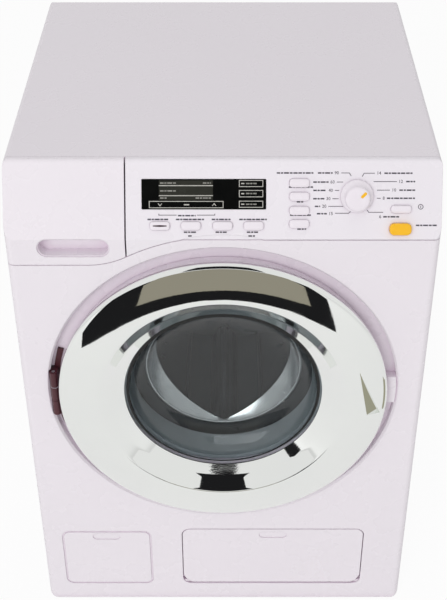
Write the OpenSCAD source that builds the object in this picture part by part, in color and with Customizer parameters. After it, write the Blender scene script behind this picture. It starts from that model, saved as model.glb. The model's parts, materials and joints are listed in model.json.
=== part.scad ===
// Toy front-loading washing machine: a battery-driven drum behind a swinging porthole door,
// a pull-out detergent drawer, a sloping control panel and a drop-down service flap.
// Millimetres. X is to the right, Y to the back, Z up. The origin is on the table,
// below the middle of the whole machine, its door included.

/* [Cabinet] */
// Width of the cabinet
body_w = 185; // [180:1:195]
// Depth of the cabinet, without the door that stands proud
body_d = 185; // [180:1:200]
// Height of the cabinet above the table
body_h = 259; // [258:0.5:262]
// Thickness of the outer panels
wall = 2.5; // [2.2:0.1:2.8]
// Radius of the upright edges
upright_edge_r = 3.2; // [3:0.1:3.8]
// Radius of the two bottom corners, seen from the front
bottom_corner_r = 4.5; // [3.5:0.5:6]
// Radius of the edges of the top
top_edge_r = 2.2; // [1.5:0.1:2.4]
// How far the front panels reach round the sides
side_return = 10; // [8:0.5:12]
// Height of the feet below the base plate
foot_h = 1; // [0.8:0.1:1.5]
// Radius of a foot
foot_r = 7; // [5:0.5:9]
// Thickness of the top cover's plate
top_t = 3; // [2.8:0.1:3.4]

/* [Control panel] */
// Height of the sloping control panel above the upright front
panel_rise = 29.5; // [28:0.1:30]
// How far the top of the control panel lies behind the front face
slope_setback = 16.5; // [15:0.5:18]
// How far the drawer front reaches below the sloping panel
drawer_edge_drop = 12.9; // [12:0.1:13.5]
// Distance of the curved seam from the door recess
seam_margin = 6.3; // [6:0.1:6.6]
// Left end of the curved part of the seam
seam_start_x = -58; // [-60:0.5:-57]
// Right edge of the drawer front
drawer_right_x = -41.4; // [-42:0.1:-41]
// Width of the display window
display_w = 52.5; // [48:0.5:54]
// Height of the display window, along the slope
display_h = 12.8; // [11:0.1:13.5]
// Middle of the display window, from the middle of the machine
display_x = -7.8; // [-9:0.1:-6]
// Middle of the display window, up the slope from the kink
display_v = 19.4; // [19:0.1:19.8]

/* [Buttons] */
// Width and height of a programme button
small_button = [8.4, 3.6];
// Places of the buttons below the display, from the middle
row_x = [-26.4, -13.3, 0.1, 13.2];
// Height of that row, up the slope from the kink
row_v = 6.1; // [5.8:0.1:6.6]
// Place of the column of buttons
column_x = 32.4; // [31:0.1:34]
// Heights of the column's buttons, up the slope from the kink
column_v = [6.9, 12.5, 18.4, 24.1];
// Width and height of the power button
power_button_size = [8.7, 3.2];
// Place of the power button, from the right side and up the slope
power_from_side = [17.2, 13.1];
// Width and height of the door button
door_button_size = [9.2, 5];
// Place of the door button, from the right side and up the slope
door_button_from_side = [17.5, 4.7];
// How far a button stands out of the panel
button_out = 1.3; // [1.1:0.1:1.6]
// How far the door button stands out of the panel
door_button_out = 2.4; // [2.1:0.1:2.8]
// Travel of a button
button_travel = 1; // [0.8:0.1:1.2]
// Travel of the door button
door_button_travel = 1.8; // [1.5:0.1:2]
// Width of the hidden rim that keeps a button in
button_rim = 0.8; // [0.6:0.1:0.9]

/* [Programme knob] */
// Place of the knob, from the right side and up the slope
knob_from_side = [35.9, 18.6];
// Radius of the knob's skirt
knob_skirt_r = 6.9; // [6.5:0.1:7.4]
// Radius of the knob's cap
knob_cap_r = 5.9; // [5.2:0.1:6.1]
// How far the knob stands out of the panel
knob_out = 4.8; // [4.2:0.1:5.6]
// Radius of the knob's spindle
knob_spindle_r = 2; // [1.6:0.1:2.2]

/* [Door] */
// Distance of the door's middle below the sloping panel
door_drop = 84.5; // [84:0.1:85]
// Radius of the recess in the front panel
recess_r = 80; // [79.6:0.1:80.4]
// Depth of the recess
recess_depth = 4.5; // [4.3:0.1:4.8]
// Outer radius of the door ring
ring_r = 75.5; // [75:0.1:75.7]
// Radius of the ridge on the door ring
ridge_r = 57.2; // [56:0.2:59]
// Radius of the edge of the glass
glass_r = 45.8; // [45.3:0.1:46.2]
// How far the outer edge of the ring stands in front of the panel
ring_edge_out = 5.4; // [5:0.1:5.8]
// How far the ridge stands in front of the panel
ridge_out = 8.3; // [7.8:0.1:8.8]
// Slope of the ring's band where it leaves the outer edge
ring_slope = 0.3; // [0.25:0.01:0.35]
// Depth of the finger grip pressed into the ring
grip_depth = 1.3; // [1:0.1:1.4]
// Wall of the door ring
ring_wall = 1.8; // [1.5:0.1:2]
// Wall of the glass bowl
glass_wall = 1.6; // [1.3:0.1:2]
// Depth of the glass bowl behind the front face
bowl_depth = 16; // [14:0.5:16.5]
// Length of the door hinge
hinge_len = 25; // [23:0.5:26]
// Radius of the hinge knuckles
knuckle_r = 1.9; // [1.8:0.05:1.95]
// Radius of the hinge pin
hinge_pin_r = 0.8; // [0.7:0.05:0.9]
// Lower and upper edge of the catch block at the right of the recess
catch_z = [138.6, 154];

/* [Drum] */
// Radius of the opening that the rubber seal leaves
mouth_r = 45; // [44.8:0.1:45.4]
// Depth of the seal's rear edge behind the front face
seal_depth = 20; // [19.5:0.1:20.5]
// Outer radius of the drum
drum_r = 60; // [58:0.5:61]
// Wall of the drum
drum_wall = 2; // [1.6:0.1:2.4]
// Radius to the corners of the drum's opening
lip_corner_r = 36.7; // [35:0.1:38]
// Radius to the middle of the sides of the drum's opening
lip_side_r = 30; // [29:0.1:31]
// Number of paddles in the drum
paddle_count = 3; // [3:1:3]
// Height of a paddle
paddle_h = 12; // [9:0.5:14]
// Width of a paddle's foot
paddle_w = 17; // [14:0.5:20]
// Radius of a drain hole in the drum
drain_r = 1.6; // [1.2:0.1:2]
// Radius of the drum's shaft
shaft_r = 3; // [2.5:0.1:3.5]
// Wall of the tub round the drum
tub_wall = 2.5; // [2:0.1:3]
// Clearance between the drum and the tub
tub_gap = 2.2; // [2:0.1:3]

/* [Drive] */
// Module of the gear teeth
tooth_module = 1; // [0.9:0.05:1.05]
// Teeth of the drum's gear
gear_teeth = 60; // [60:4:60]
// Teeth of the motor's pinion
pinion_teeth = 15; // [15:1:15]
// Thickness of the drum's gear
gear_t = 6; // [5:0.5:7]
// Radius of the motor
motor_r = 10; // [9:0.5:11]
// Length of the motor
motor_len = 25; // [22:0.5:27]
// Room between the motor's terminals and the rear cover
motor_room = 5.5; // [4:0.5:10]

/* [Drawer] */
// Room at the left and at the right of the tray
tray_room = [4.6, 3.4];
// Length of the tray that stays in its housing when the drawer is out
tray_stay = 12; // [10:1:16]
// Height of the drawer's tray
tray_h = 20; // [18:0.5:21]
// Wall of the tray
tray_wall = 1.4; // [1.2:0.1:1.8]
// Width and height of the finger recess in the drawer front
finger_recess = [30, 8];
// Depth of the finger recess
finger_depth = 6; // [5.2:0.2:6.5]
// Middle of the finger recess, from the right and the lower edge of the drawer front
finger_from_edge = [22.1, 8.7];
// How far the drawer slides out
drawer_travel = 34; // [28:1:36]

/* [Service flap] */
// Width of the flap
flap_w = 92; // [86:1:93]
// Land between the door recess and the flap
flap_land = 12; // [10:0.5:14]
// Middle of the flap, from the middle of the machine
flap_x = 25; // [23:0.5:27]
// Height of the flap's lower edge
flap_z = 12.5; // [11.5:0.1:13.5]
// Radius of the flap's corners
flap_r = 4; // [3.5:0.1:4.5]
// Thickness of the flap
flap_t = 2.2; // [2:0.1:2.2]
// Depth of the pocket behind the flap
pocket_depth = 30; // [25:1:32]
// Wall of the pocket
pocket_wall = 1.6; // [1.3:0.1:2]
// Width of the moulded frame at the left
frame_w = 45.6; // [43:0.2:47]
// Distance of the moulded frame from the left side
frame_side = 9.9; // [8:0.1:12]
// How much lower the moulded frame is than the flap
frame_lower = 0.8; // [0.4:0.1:1.2]
// Width of the groove that draws the frame
frame_line = 1; // [0.8:0.1:1.3]

/* [Batteries] */
// Radius of a battery cell
cell_r = 7.1; // [7:0.05:7.2]
// Length of a battery cell
cell_len = 50; // [49.2:0.1:50.5]
// Wall of the battery box
battery_wall = 1.6; // [1.3:0.1:2]
// Distance of the battery box from the middle, to the back
battery_y = 42; // [38:1:46]

/* [Fits] */
// Gap in a seam between two fixed panels
seam = 0.3; // [0.2:0.05:0.4]
// Clearance round a piece that moves
run_gap = 0.3; // [0.25:0.01:0.4]
// Radial clearance of a pin or shaft in its hole
pin_gap = 0.05; // [0.03:0.01:0.08]
// Gap along the right edge of the drawer front
drawer_gap = 0.6; // [0.4:0.1:0.8]
// Gap round the service flap
flap_gap = 0.45; // [0.4:0.05:0.6]
// Radius of a housing screw
screw_r = 1.3; // [1.1:0.1:1.5]
// Radius of a screw's head
screw_head_r = 2.5; // [2.2:0.1:2.8]

/* [Hidden] */
$fn = 64;

// Colours
panel_white = [0.93, 0.91, 0.94];
button_white = [0.95, 0.94, 0.96];
display_black = [0.08, 0.08, 0.09];
door_yellow = [0.98, 0.75, 0.16];
chrome_silver = [0.86, 0.87, 0.86];
smoke_grey = [0.3, 0.33, 0.35, 0.5];
seal_grey = [0.55, 0.58, 0.61];
drum_grey = [0.45, 0.47, 0.5];
steel_grey = [0.7, 0.7, 0.72];
hinge_maroon = [0.35, 0.13, 0.16];
gear_cream = [0.9, 0.88, 0.8];
board_green = [0.12, 0.4, 0.22];
keypad_grey = [0.45, 0.45, 0.47];
rubber_dark = [0.15, 0.15, 0.16];
cell_blue = [0.2, 0.3, 0.5];
contact_nickel = [0.75, 0.74, 0.7];

// Cabinet
eps = 0.01;
far = 400;
kink_z = body_h - panel_rise;
drawer_edge_z = kink_z - drawer_edge_drop;
door_z = kink_z - door_drop;
ridge_crest = 0.05;
door_proud = ridge_out + ridge_crest;
front_y = -(body_d - door_proud) / 2;
back_y = front_y + body_d;
mid_y = (front_y + back_y) / 2;
floor_z = foot_h;
lean = atan(slope_setback / (body_h - kink_z));
return_y = front_y + side_return;
inner_x = body_w / 2 - wall;
top_seam_z = body_h - top_t;
top_front_y = front_y + slope_setback;
fascia_lip = 0.4;
fascia_top_y = top_front_y + top_edge_r + fascia_lip;
rear_t = wall;
rear_in_y = back_y - rear_t;
rear_rim = 2.5;
base_t = 2.5;
base_top_z = floor_z + base_t;
rib_t = 1.2;
rib_depth = 2.5;
rib_step = 40;
rib_end_gap = 12;
tongue_t = 1.5;
tongue_len = 6;
tongue_end_gap = 29.5;
skirt_t = 1.5;
skirt_h = 4.5;
skirt_step = 4;
top_rib_step = 45;
top_rib_h = 3;
vent_z = 70;
vent_step = 7;
vent_count = 3;
vent_w = 44;
vent_h = 2.4;
screw_gap = 0.05;
head_gap = 0.1;
head_t = 1.6;
head_sink = 1.2;
head_below = 0.2;
cross_w = 0.7;
cross_in = 0.6;
cross_depth = 0.6;

// Seam between the front panel and the controls: a level line, an arc round the door and
// a fillet into the level lower edge of the drawer front
seam_r = recess_r + seam_margin;
seam_fillet_drop = drawer_edge_z - door_z;
seam_fillet_r = (pow(seam_start_x, 2) + pow(seam_fillet_drop, 2) - pow(seam_r, 2))
    / (2 * (seam_r - seam_fillet_drop));
seam_fillet_z = drawer_edge_z + seam_fillet_r;
seam_touch = seam_r / (seam_r + seam_fillet_r);
seam_level_x = -sqrt(pow(seam_r, 2) - pow(kink_z - door_z, 2));

// Door
dish_wall = wall;
dish_r = recess_r + dish_wall;
dish_back = recess_depth + dish_wall;
seal_wall = 2;
seal_r = mouth_r + seal_wall;
seal_flange_r = mouth_r + 6;
seal_flange_t = 1;
seal_gap = 0.1;
hinge_x = -(ring_r + knuckle_r + run_gap);
hinge_y = front_y;
hinge_third = hinge_len / 3;
hinge_base_t = 1;
hinge_arm_half = hinge_third / 2 - run_gap;
ring_back = 1;
ring_edge_r = 1.1;
ridge_round = 1.2;
ring_glass_out = 0.5;
band_w = ring_r - ring_edge_r - ridge_r - ridge_round;
ring_curve = (ring_slope * band_w - (ridge_out - ring_edge_out)) / pow(band_w, 2);
grip_apex = [61.5, 18.5];
grip_foot = [66.5, -7.9];
grip_corner = [72.6, -7.3];
glass_flange_r = glass_r + 4.2;
glass_flange_t = 1.4;
glass_flange_front = 0.1;
liner_in_r = glass_r + 1.5;
liner_out_r = ring_r - ring_wall - 0.3;
liner_back = recess_depth - run_gap;
liner_ledge = glass_flange_front + glass_flange_t;
bowl_r = mouth_r - 2.4;
bowl_back_r = bowl_r - 5;
door_screw_r = 66;
hook_x = 66;
hook_w = 4;
hook_h = 7;
hook_len = 7;
hook_gap = 1;
hook_notch = 1.4;

// Tub and drum, with depths measured from the front face to the back
tub_front = seal_depth - tub_wall + 0.5;
tub_front_back = tub_front + tub_wall;
drum_front = tub_front_back + 1.5;
tub_in_r = drum_r + tub_gap;
tub_out_r = tub_in_r + tub_wall;
boss_r = 9;
boss_len = 9;
drum_tail_gap = 3;
gear_gap = 1.5;
bracket_gap = 5;
bracket_t = 2;
terminal_len = 3;
drive_len = drum_tail_gap + tub_wall + boss_len + gear_gap + gear_t + bracket_gap + bracket_t
    + motor_len + terminal_len + motor_room;
drum_len = body_d - rear_t - drive_len - drum_front;
drum_back = drum_front + drum_len;
tub_floor = drum_back + drum_tail_gap;
tub_back = tub_floor + tub_wall;
boss_back = tub_back + boss_len;
bearing_wall = 2.6;
bearing_r = shaft_r + bearing_wall;
bearing_lip = 1.2;
bearing_front = tub_floor - bearing_lip;
bearing_flange = [1.5, 0.8];
gear_front = boss_back + gear_gap;
gear_back = gear_front + gear_t;
hub_r = 7;
hub_len = 4;
hub_back = gear_back + hub_len;
shaft_back = hub_back + 1;
shaft_front = drum_back - drum_wall - 1;
drain_start = 18;
drain_step = 15;
drain_shift = 7;
drain_angle = 24;
drain_rows = floor((drum_len - drain_start - 20) / drain_step);
flow_r = 2.2;
flow_at = drum_r * 0.57;
bead_r = 1.2;
bead_angle = 20;
tub_rib_t = 1.6;
tub_rib_h = 4;
ear_r = recess_r - 10;
ear_angles = [40, 140, 220, 320];
ear_pad_r = 4.6;
ear_boss_r = 3.4;
boss_hole_r = screw_r - 0.2;
boss_hole_len = 9;
screw_bite = 6;
lip_offset = (pow(lip_corner_r, 2) - pow(lip_side_r, 2)) / (2 * lip_side_r - lip_corner_r);
lip_arc_r = lip_side_r + lip_offset;
lip_bead = 1.4;
lip_flange = 1.6;
lip_edge = 0.8;
lip_tail = 0.6;

// Drive
pitch_sum = tooth_module * (gear_teeth + pinion_teeth) / 2;
gear_out_r = tooth_module * (gear_teeth / 2 + 1);
motor_drop = pitch_sum;
post_r = 3.5;
post_x = motor_r + 13;
bracket_front = gear_back + bracket_gap;
bracket_back = bracket_front + bracket_t;
bracket_end = 5;
bracket_side = 3;
bracket_corner_r = 4;
backlash = 0.12;
pinion_over = 0.5;
lighten_r = 5;
motor_shaft_r = 1;
motor_shaft_in = 4.5;
motor_neck_gap = 1.5;
motor_cap = [3, 1.2];
terminal_x = 6;
terminal_w = 2.4;
terminal_t = 0.5;
motor_flat = motor_r * 0.78;

// Drawer
tray_left_x = -inner_x + tray_room[0];
tray_right_x = drawer_right_x - drawer_gap - tray_room[1];
tray_w = tray_right_x - tray_left_x;
tray_x = (tray_left_x + tray_right_x) / 2;
tray_len = drawer_travel + tray_stay;
tray_foot = 3;
tray_z = drawer_edge_z + tray_foot;
finger_at = [drawer_right_x - finger_from_edge[0], drawer_edge_z + finger_from_edge[1]];
tray_front_y = front_y + wall;
housing_wall = 1.5;
housing_gap = 0.4;
housing_front_y = front_y + side_return + 1;
finger_wall = 1.4;

// Controls
power_at = [body_w / 2 - power_from_side[0], power_from_side[1]];
door_button_at = [body_w / 2 - door_button_from_side[0], door_button_from_side[1]];
knob_at = [body_w / 2 - knob_from_side[0], knob_from_side[1]];
button_flange_t = 1;
button_gap = 0.25;
keypad_top = -(wall + run_gap + button_flange_t + button_travel + 0.25);
keypad_t = 0.8;
dome_h = 0.7;
board_top = keypad_top - dome_h - keypad_t;
board_t = 1.6;
board_v = (body_h - kink_z) / cos(lean) / 2;
board_h = 21;
board_end = 4.45;
board_x = [display_x - display_w / 2 - board_end, power_at[0] - board_end + 0.15];
board_post_r = 1.5;
post_in = 2;
display_t = 0.7;
switch_size = 12;
switch_top = -(wall + 0.5);

// Latch between the door button and the door's hook
latch_x = door_button_at[0];
latch_w = 5;
latch_t = 2;
latch_y = front_y + dish_back + 0.8;
stem_r = 1.2;
stem_len = 13;
stem_end_y = front_y + door_button_at[1] * sin(lean) + stem_len * cos(lean);
stem_end_z = kink_z + door_button_at[1] * cos(lean) - stem_len * sin(lean);
latch_top_z = stem_end_z - stem_r * cos(lean) - door_button_travel * sin(lean) - run_gap;
latch_ratio = 0.8;
latch_bottom_z = door_z + hook_h / 2 + latch_ratio * door_button_travel + 0.6;
guide_z = [door_z + 35, door_z + 60];
latch_toe_h = 4;
latch_head_h = 5;
latch_head_over = 1;
guide_h = 5;
guide_wall = 1.2;

// Service flap
flap_size = [flap_w, door_z - recess_r - flap_land - flap_z];
frame_size = [frame_w, flap_size[1] - frame_lower];
frame_at = [-body_w / 2 + frame_side + frame_w / 2, flap_z - flap_gap + frame_size[1] / 2];
frame_r = 4;
frame_depth = 0.5;
flap_axis_z = flap_z + flap_t / 2;
flap_axis_y = front_y + flap_t / 2;
flap_pin_r = 0.7;
flap_pin_x = flap_size[0] / 2 + flap_gap + 1.2;
flap_low_r = 7.8;
flap_pin_in = flap_size[0] / 2 - flap_low_r;
pocket_inset = 4;
pocket_flange = 3;
pocket_flange_t = 1.4;
pocket_front_y = front_y + wall;

// Batteries
cell_gap = 0.3;
battery_in = [2 * cell_len + 5, 2 * (2 * cell_r + cell_gap) + cell_gap];
battery_out = [battery_in[0] + 2 * battery_wall, battery_in[1] + 2 * battery_wall];
battery_lid_t = 1.6;
lid_z = floor_z + 0.2;
cell_z = lid_z + battery_lid_t + 0.4 + cell_r;
box_bottom_z = base_top_z;
cell_x = cell_len / 2 + 0.8;
cell_y = cell_r + cell_gap / 2;
lid_screw_x = battery_in[0] / 2 + 6;

foot_at = [body_w / 2 - 17, body_d / 2 - 17];
foot_recess = 1.3;
cover_screw_x = body_w / 2 - 12;
cover_screw_z = [20, body_h / 2, body_h - 20];
cover_screw_len = 9;
cover_boss_r = 3.6;
cover_boss_y = back_y - cover_screw_len - 3;

// ---------- shared shapes ----------

// A box from one corner to the other
module box_at(lo, hi) {
    translate(lo) cube(hi - lo);
}

// A round bar along X, between two places
module rod_x(r, x0, x1) {
    translate([x0, 0, 0]) rotate([0, 90, 0]) cylinder(r = r, h = x1 - x0);
}

// A round bar along Y, between two places
module rod_y(r, y0, y1) {
    translate([0, y0, 0]) rotate([-90, 0, 0]) cylinder(r = r, h = y1 - y0);
}

// A ring, between two heights
module ring(r_in, r_out, z0, z1) {
    difference() {
        translate([0, 0, z0]) cylinder(r = r_out, h = z1 - z0);
        translate([0, 0, z0 - 1]) cylinder(r = r_in, h = z1 - z0 + 2);
    }
}

// A plate with round corners, centred in X and Y
module round_plate(w, h, r, z0, z1) {
    box_at([-w / 2 + r, -h / 2, z0], [w / 2 - r, h / 2, z1]);
    box_at([-w / 2, -h / 2 + r, z0], [w / 2, h / 2 - r, z1]);
    for (x = [-1, 1], y = [-1, 1])
        translate([x * (w / 2 - r), y * (h / 2 - r), z0]) cylinder(r = r, h = z1 - z0);
}

// A plate with fully round ends
module pill(w, h, z0, z1) {
    box_at([-(w - h) / 2, -h / 2, z0], [(w - h) / 2, h / 2, z1]);
    for (x = [-1, 1])
        translate([x * (w - h) / 2, 0, z0]) cylinder(d = h, h = z1 - z0);
}

// Puts a shape on the front face: X to the right, Y up, Z forward
module on_front() {
    translate([0, front_y, 0]) rotate([90, 0, 0]) children();
}

// Puts a shape on the door's axis: X to the right, Y up, Z forward from the front face
module on_door() {
    translate([0, front_y, door_z]) rotate([90, 0, 0]) children();
}

// Puts a shape on the sloping panel: X to the right, Y up the slope, Z outward
module on_slope(at = [0, 0]) {
    translate([0, front_y, kink_z]) rotate([90 - lean, 0, 0]) translate([at[0], at[1], 0])
        children();
}

// Y of the line that lies a depth behind the sloping panel, at a height
function slope_y(depth, z) = front_y + (z - kink_z) * tan(lean) + depth / cos(lean);

// Side outline of the front between two depths, from a low to a high Z
function front_band(d0, d1, z0, z1) = [
    [front_y + d0, z0],
    [front_y + d0, kink_z - d0 * tan(lean / 2)],
    [slope_y(d0, z1), z1],
    [slope_y(d1, z1), z1],
    [front_y + d1, kink_z - d1 * tan(lean / 2)],
    [front_y + d1, z0]
];

// Extrudes an outline in Y and Z along X
module across(points, x0, x1) {
    translate([x0, 0, 0]) rotate([90, 0, 90]) linear_extrude(x1 - x0) polygon(points);
}

// ---------- outer form of the cabinet ----------

// Upright edges, seen from above
module plan_form() {
    translate([0, mid_y, 0]) round_plate(body_w, body_d, upright_edge_r, floor_z, body_h);
}

// Bottom corners and top side edges, seen from the front
module front_form() {
    b = bottom_corner_r;
    t = top_edge_r;
    hw = body_w / 2;
    box_at([-hw, front_y, floor_z + b], [hw, back_y, body_h - t]);
    box_at([-hw + b, front_y, floor_z], [hw - b, back_y, floor_z + b + eps]);
    box_at([-hw + t, front_y, body_h - t - eps], [hw - t, back_y, body_h]);
    for (s = [-1, 1]) {
        translate([s * (hw - b), 0, floor_z + b]) rod_y(b, front_y, back_y);
        translate([s * (hw - t), 0, body_h - t]) rod_y(t, front_y, back_y);
    }
}

// The slope of the controls and the top's front and back edges, seen from the side
module side_form() {
    t = top_edge_r;
    turn = 90 - lean;
    steps = 4;
    front_arc = [for (i = [0:steps]) let (a = 180 - lean - turn * i / steps)
        [top_front_y + t * tan(turn / 2) + t * cos(a), body_h - t + t * sin(a)]];
    back_arc = [for (i = [0:steps]) let (a = 90 - 90 * i / steps)
        [back_y - t + t * cos(a), body_h - t + t * sin(a)]];
    across(concat([[front_y, floor_z], [front_y, kink_z]], front_arc, back_arc,
        [[back_y, floor_z]]), -body_w / 2, body_w / 2);
}

module outer_form() {
    intersection() {
        plan_form();
        front_form();
        side_form();
    }
}

// Everything above the seam line, raised by an offset
module above_seam(offset) {
    up = 40;
    difference() {
        union() {
            box_at([-far, -far, kink_z + offset], [far, far, body_h + up]);
            box_at([-far, -far, drawer_edge_z + offset], [seam_level_x, far, kink_z + offset + eps]);
        }
        translate([0, 0, door_z]) rod_y(seam_r + offset, -far, far);
        difference() {
            translate([0, -far, 0]) rotate([-90, 0, 0]) linear_extrude(2 * far)
                polygon([
                    [seam_start_x, -(drawer_edge_z - 1)],
                    [seam_start_x, -(drawer_edge_z + offset)],
                    [seam_start_x * seam_touch, -(door_z + (seam_fillet_z - door_z) * seam_touch)],
                    [0, -door_z]
                ]);
            translate([seam_start_x, 0, seam_fillet_z]) rod_y(seam_fillet_r - offset, -far, far);
        }
    }
}

// ---------- front panel and its pieces ----------

// Outline of the flap's opening, on the front face
module flap_hole(grow, z0, z1) {
    translate([flap_x, flap_z + flap_size[1] / 2, 0])
        round_plate(flap_size[0] + 2 * grow, flap_size[1] + 2 * grow, flap_r + grow, z0, z1);
}

module front_panel() color(panel_white) {
    difference() {
        union() {
            // Skin and side returns
            difference() {
                intersection() {
                    outer_form();
                    union() {
                        across(front_band(0, wall, floor_z, kink_z), -body_w / 2, body_w / 2);
                        for (m = [0, 1])
                            mirror([m, 0, 0])
                                across(front_band(0, side_return, floor_z, kink_z), inner_x, body_w / 2);
                    }
                }
                above_seam(-seam / 2);
            }
            // Tongues that reach behind the side panels
            for (s = [-1, 1])
                translate([s * (inner_x - tongue_t / 2), 0, 0])
                    box_at([-tongue_t / 2, front_y + wall, floor_z + tongue_end_gap],
                        [tongue_t / 2, return_y + tongue_len, kink_z - tongue_end_gap]);
            // Dish of the door recess
            on_door() translate([0, 0, -dish_back]) cylinder(r = dish_r, h = dish_back - eps, $fn = 96);
            // Bosses that carry the tub
            on_door() for (a = ear_angles)
                rotate([0, 0, a]) translate([ear_r, 0, -tub_front])
                    cylinder(r = ear_boss_r, h = tub_front - dish_back + eps);
            // Guides of the latch bar
            for (z = guide_z)
                box_at([latch_x - latch_w / 2 - run_gap - guide_wall, front_y + wall - eps, z],
                    [latch_x + latch_w / 2 + run_gap + guide_wall,
                     latch_y + latch_t + run_gap + guide_wall, z + guide_h]);
        }
        // Recess of the door, with a rounded edge
        on_door() {
            translate([0, 0, -recess_depth]) cylinder(r = recess_r, h = far, $fn = 96);
            translate([0, 0, -1]) cylinder(r1 = recess_r, r2 = recess_r + 1, h = 1 + eps);
            translate([0, 0, -far / 2]) cylinder(r = seal_r + seal_gap, h = far);
            translate([0, 0, -recess_depth - seal_flange_t]) cylinder(r = seal_flange_r + seal_gap, h = far);
            for (a = ear_angles)
                rotate([0, 0, a]) translate([ear_r, 0, -tub_front - 1]) cylinder(r = boss_hole_r, h = boss_hole_len);
        }
        // Slot for the door's hook
        on_door() box_at([hook_x - hook_gap, -hook_h / 2 - hook_gap, -far],
            [hook_x + hook_w + hook_gap, hook_h / 2 + hook_gap, 0]);
        // Pocket of the hinge bracket
        box_at([hinge_x - knuckle_r - run_gap, front_y - 1, door_z - hinge_len / 2 - run_gap],
            [hinge_x + knuckle_r + 0.4, front_y + recess_depth + eps, door_z + hinge_len / 2 + run_gap]);
        // Opening of the flap and the holes for its pins
        on_front() flap_hole(flap_gap, -wall - 1, 1);
        translate([flap_x, flap_axis_y, flap_axis_z])
            rod_x(flap_pin_r + pin_gap, -flap_pin_x - 0.4, flap_pin_x + 0.4);
        // Groove of the moulded frame and its finger mark
        on_front() translate([frame_at[0], frame_at[1], 0]) {
            difference() {
                round_plate(frame_size[0], frame_size[1], frame_r, -frame_depth, 1);
                round_plate(frame_size[0] - 2 * frame_line, frame_size[1] - 2 * frame_line,
                    frame_r - frame_line, -1, 2);
            }
            finger_mark(frame_size[1] / 2 - 4);
        }
        // Channels of the latch bar
        for (z = guide_z)
            box_at([latch_x - latch_w / 2 - run_gap, latch_y - run_gap, z - 1],
                [latch_x + latch_w / 2 + run_gap, latch_y + latch_t + run_gap, z + guide_h + 1]);
    }
}

// Shallow mark for a finger nail, on the front face
module finger_mark(up) {
    translate([0, up, 0]) pill(14, 4.4, -0.35, 1);
}

module hinge_bracket() color(hinge_maroon) difference() {
    union() {
        for (z = [door_z - hinge_len / 2, door_z + hinge_third / 2]) {
            translate([hinge_x, hinge_y, z]) cylinder(r = knuckle_r, h = hinge_third);
            box_at([hinge_x - knuckle_r, hinge_y, z],
                [hinge_x + knuckle_r, front_y + recess_depth, z + hinge_third]);
        }
        box_at([hinge_x - knuckle_r, front_y + recess_depth - hinge_base_t, door_z - hinge_len / 2],
            [hinge_x + knuckle_r, front_y + recess_depth, door_z + hinge_len / 2]);
    }
    translate([hinge_x, hinge_y, door_z - hinge_len]) cylinder(r = hinge_pin_r, h = 2 * hinge_len);
}

module hinge_pin() color(steel_grey)
    translate([hinge_x, hinge_y, door_z - hinge_len / 2]) cylinder(r = hinge_pin_r, h = hinge_len);

module door_catch() color(panel_white) on_door() intersection() {
    ring(ring_r + run_gap, recess_r - eps, -recess_depth, -0.1, $fn = 96);
    box_at([0, catch_z[0] - door_z, -far], [far, catch_z[1] - door_z, far]);
}

// ---------- cabinet panels ----------

module side_panel() {
    intersection() {
        outer_form();
        across(concat(
            [[return_y + seam / 3, floor_z], [return_y + seam / 3, kink_z - side_return * tan(lean / 2)]],
            [[slope_y(side_return + seam / 3, top_seam_z), top_seam_z],
             [rear_in_y - rear_rim, top_seam_z], [rear_in_y - rear_rim, floor_z]]),
            inner_x, body_w / 2);
    }
    // Upright ribs on the inside
    for (i = [-1:1])
        translate([0, mid_y + i * rib_step, 0])
            box_at([inner_x - rib_depth, -rib_t / 2, base_top_z + rib_t],
                [inner_x + eps, rib_t / 2, top_seam_z - rib_end_gap]);
    // Bosses of the rear cover's screws, each on a web
    for (z = cover_screw_z)
        difference() {
            union() {
                translate([cover_screw_x, 0, z]) rod_y(cover_boss_r, cover_boss_y, rear_in_y - seam / 3);
                box_at([cover_screw_x, cover_boss_y, z - rib_t],
                    [inner_x + eps, rear_in_y - rear_rim - seam / 3, z + rib_t]);
            }
            translate([cover_screw_x, 0, z]) rod_y(screw_r + pin_gap, cover_boss_y - 1, rear_in_y);
        }
}

module left_side_panel() color(panel_white) mirror([1, 0, 0]) side_panel();

module right_side_panel() color(panel_white) side_panel();

module top_cover() color(panel_white) {
    intersection() {
        outer_form();
        box_at([-far, fascia_top_y + seam / 3, top_seam_z], [far, far, body_h + 1]);
    }
    // Skirt inside the side panels and the rear cover
    difference() {
        box_at([-inner_x + seam, fascia_top_y + skirt_step, top_seam_z - skirt_h],
            [inner_x - seam, rear_in_y - rear_rim - seam, top_seam_z + eps]);
        box_at([-inner_x + seam + skirt_t, -far, top_seam_z - skirt_h - 1],
            [inner_x - seam - skirt_t, rear_in_y - rear_rim - seam - skirt_t, top_seam_z + 1]);
    }
    // Ribs under the plate
    for (i = [-1:1])
        translate([i * top_rib_step, 0, 0])
            box_at([-rib_t / 2, fascia_top_y + rib_end_gap, top_seam_z - top_rib_h],
                [rib_t / 2, rear_in_y - rib_end_gap, top_seam_z + eps]);
}

module rear_cover() color(panel_white) difference() {
    union() {
        intersection() {
            outer_form();
            union() {
                box_at([-far, rear_in_y, floor_z], [far, far, top_seam_z]);
                difference() {
                    box_at([-far, rear_in_y - rear_rim, floor_z], [far, far, top_seam_z]);
                    box_at([-inner_x, -far, floor_z - 1], [inner_x, far, top_seam_z + 1]);
                }
            }
        }
    }
    // Cooling slots in the middle
    for (i = [-vent_count:vent_count])
        translate([0, 0, vent_z + vent_step * i])
            box_at([-vent_w / 2, rear_in_y - 1, -vent_h / 2], [vent_w / 2, back_y + 1, vent_h / 2]);
    for (s = [-1, 1], z = cover_screw_z)
        translate([s * cover_screw_x, 0, z]) {
            rod_y(screw_r + screw_gap, rear_in_y - 1, back_y + 1);
            rod_y(screw_head_r + head_gap, back_y - head_sink, back_y + 1);
        }
}

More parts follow.
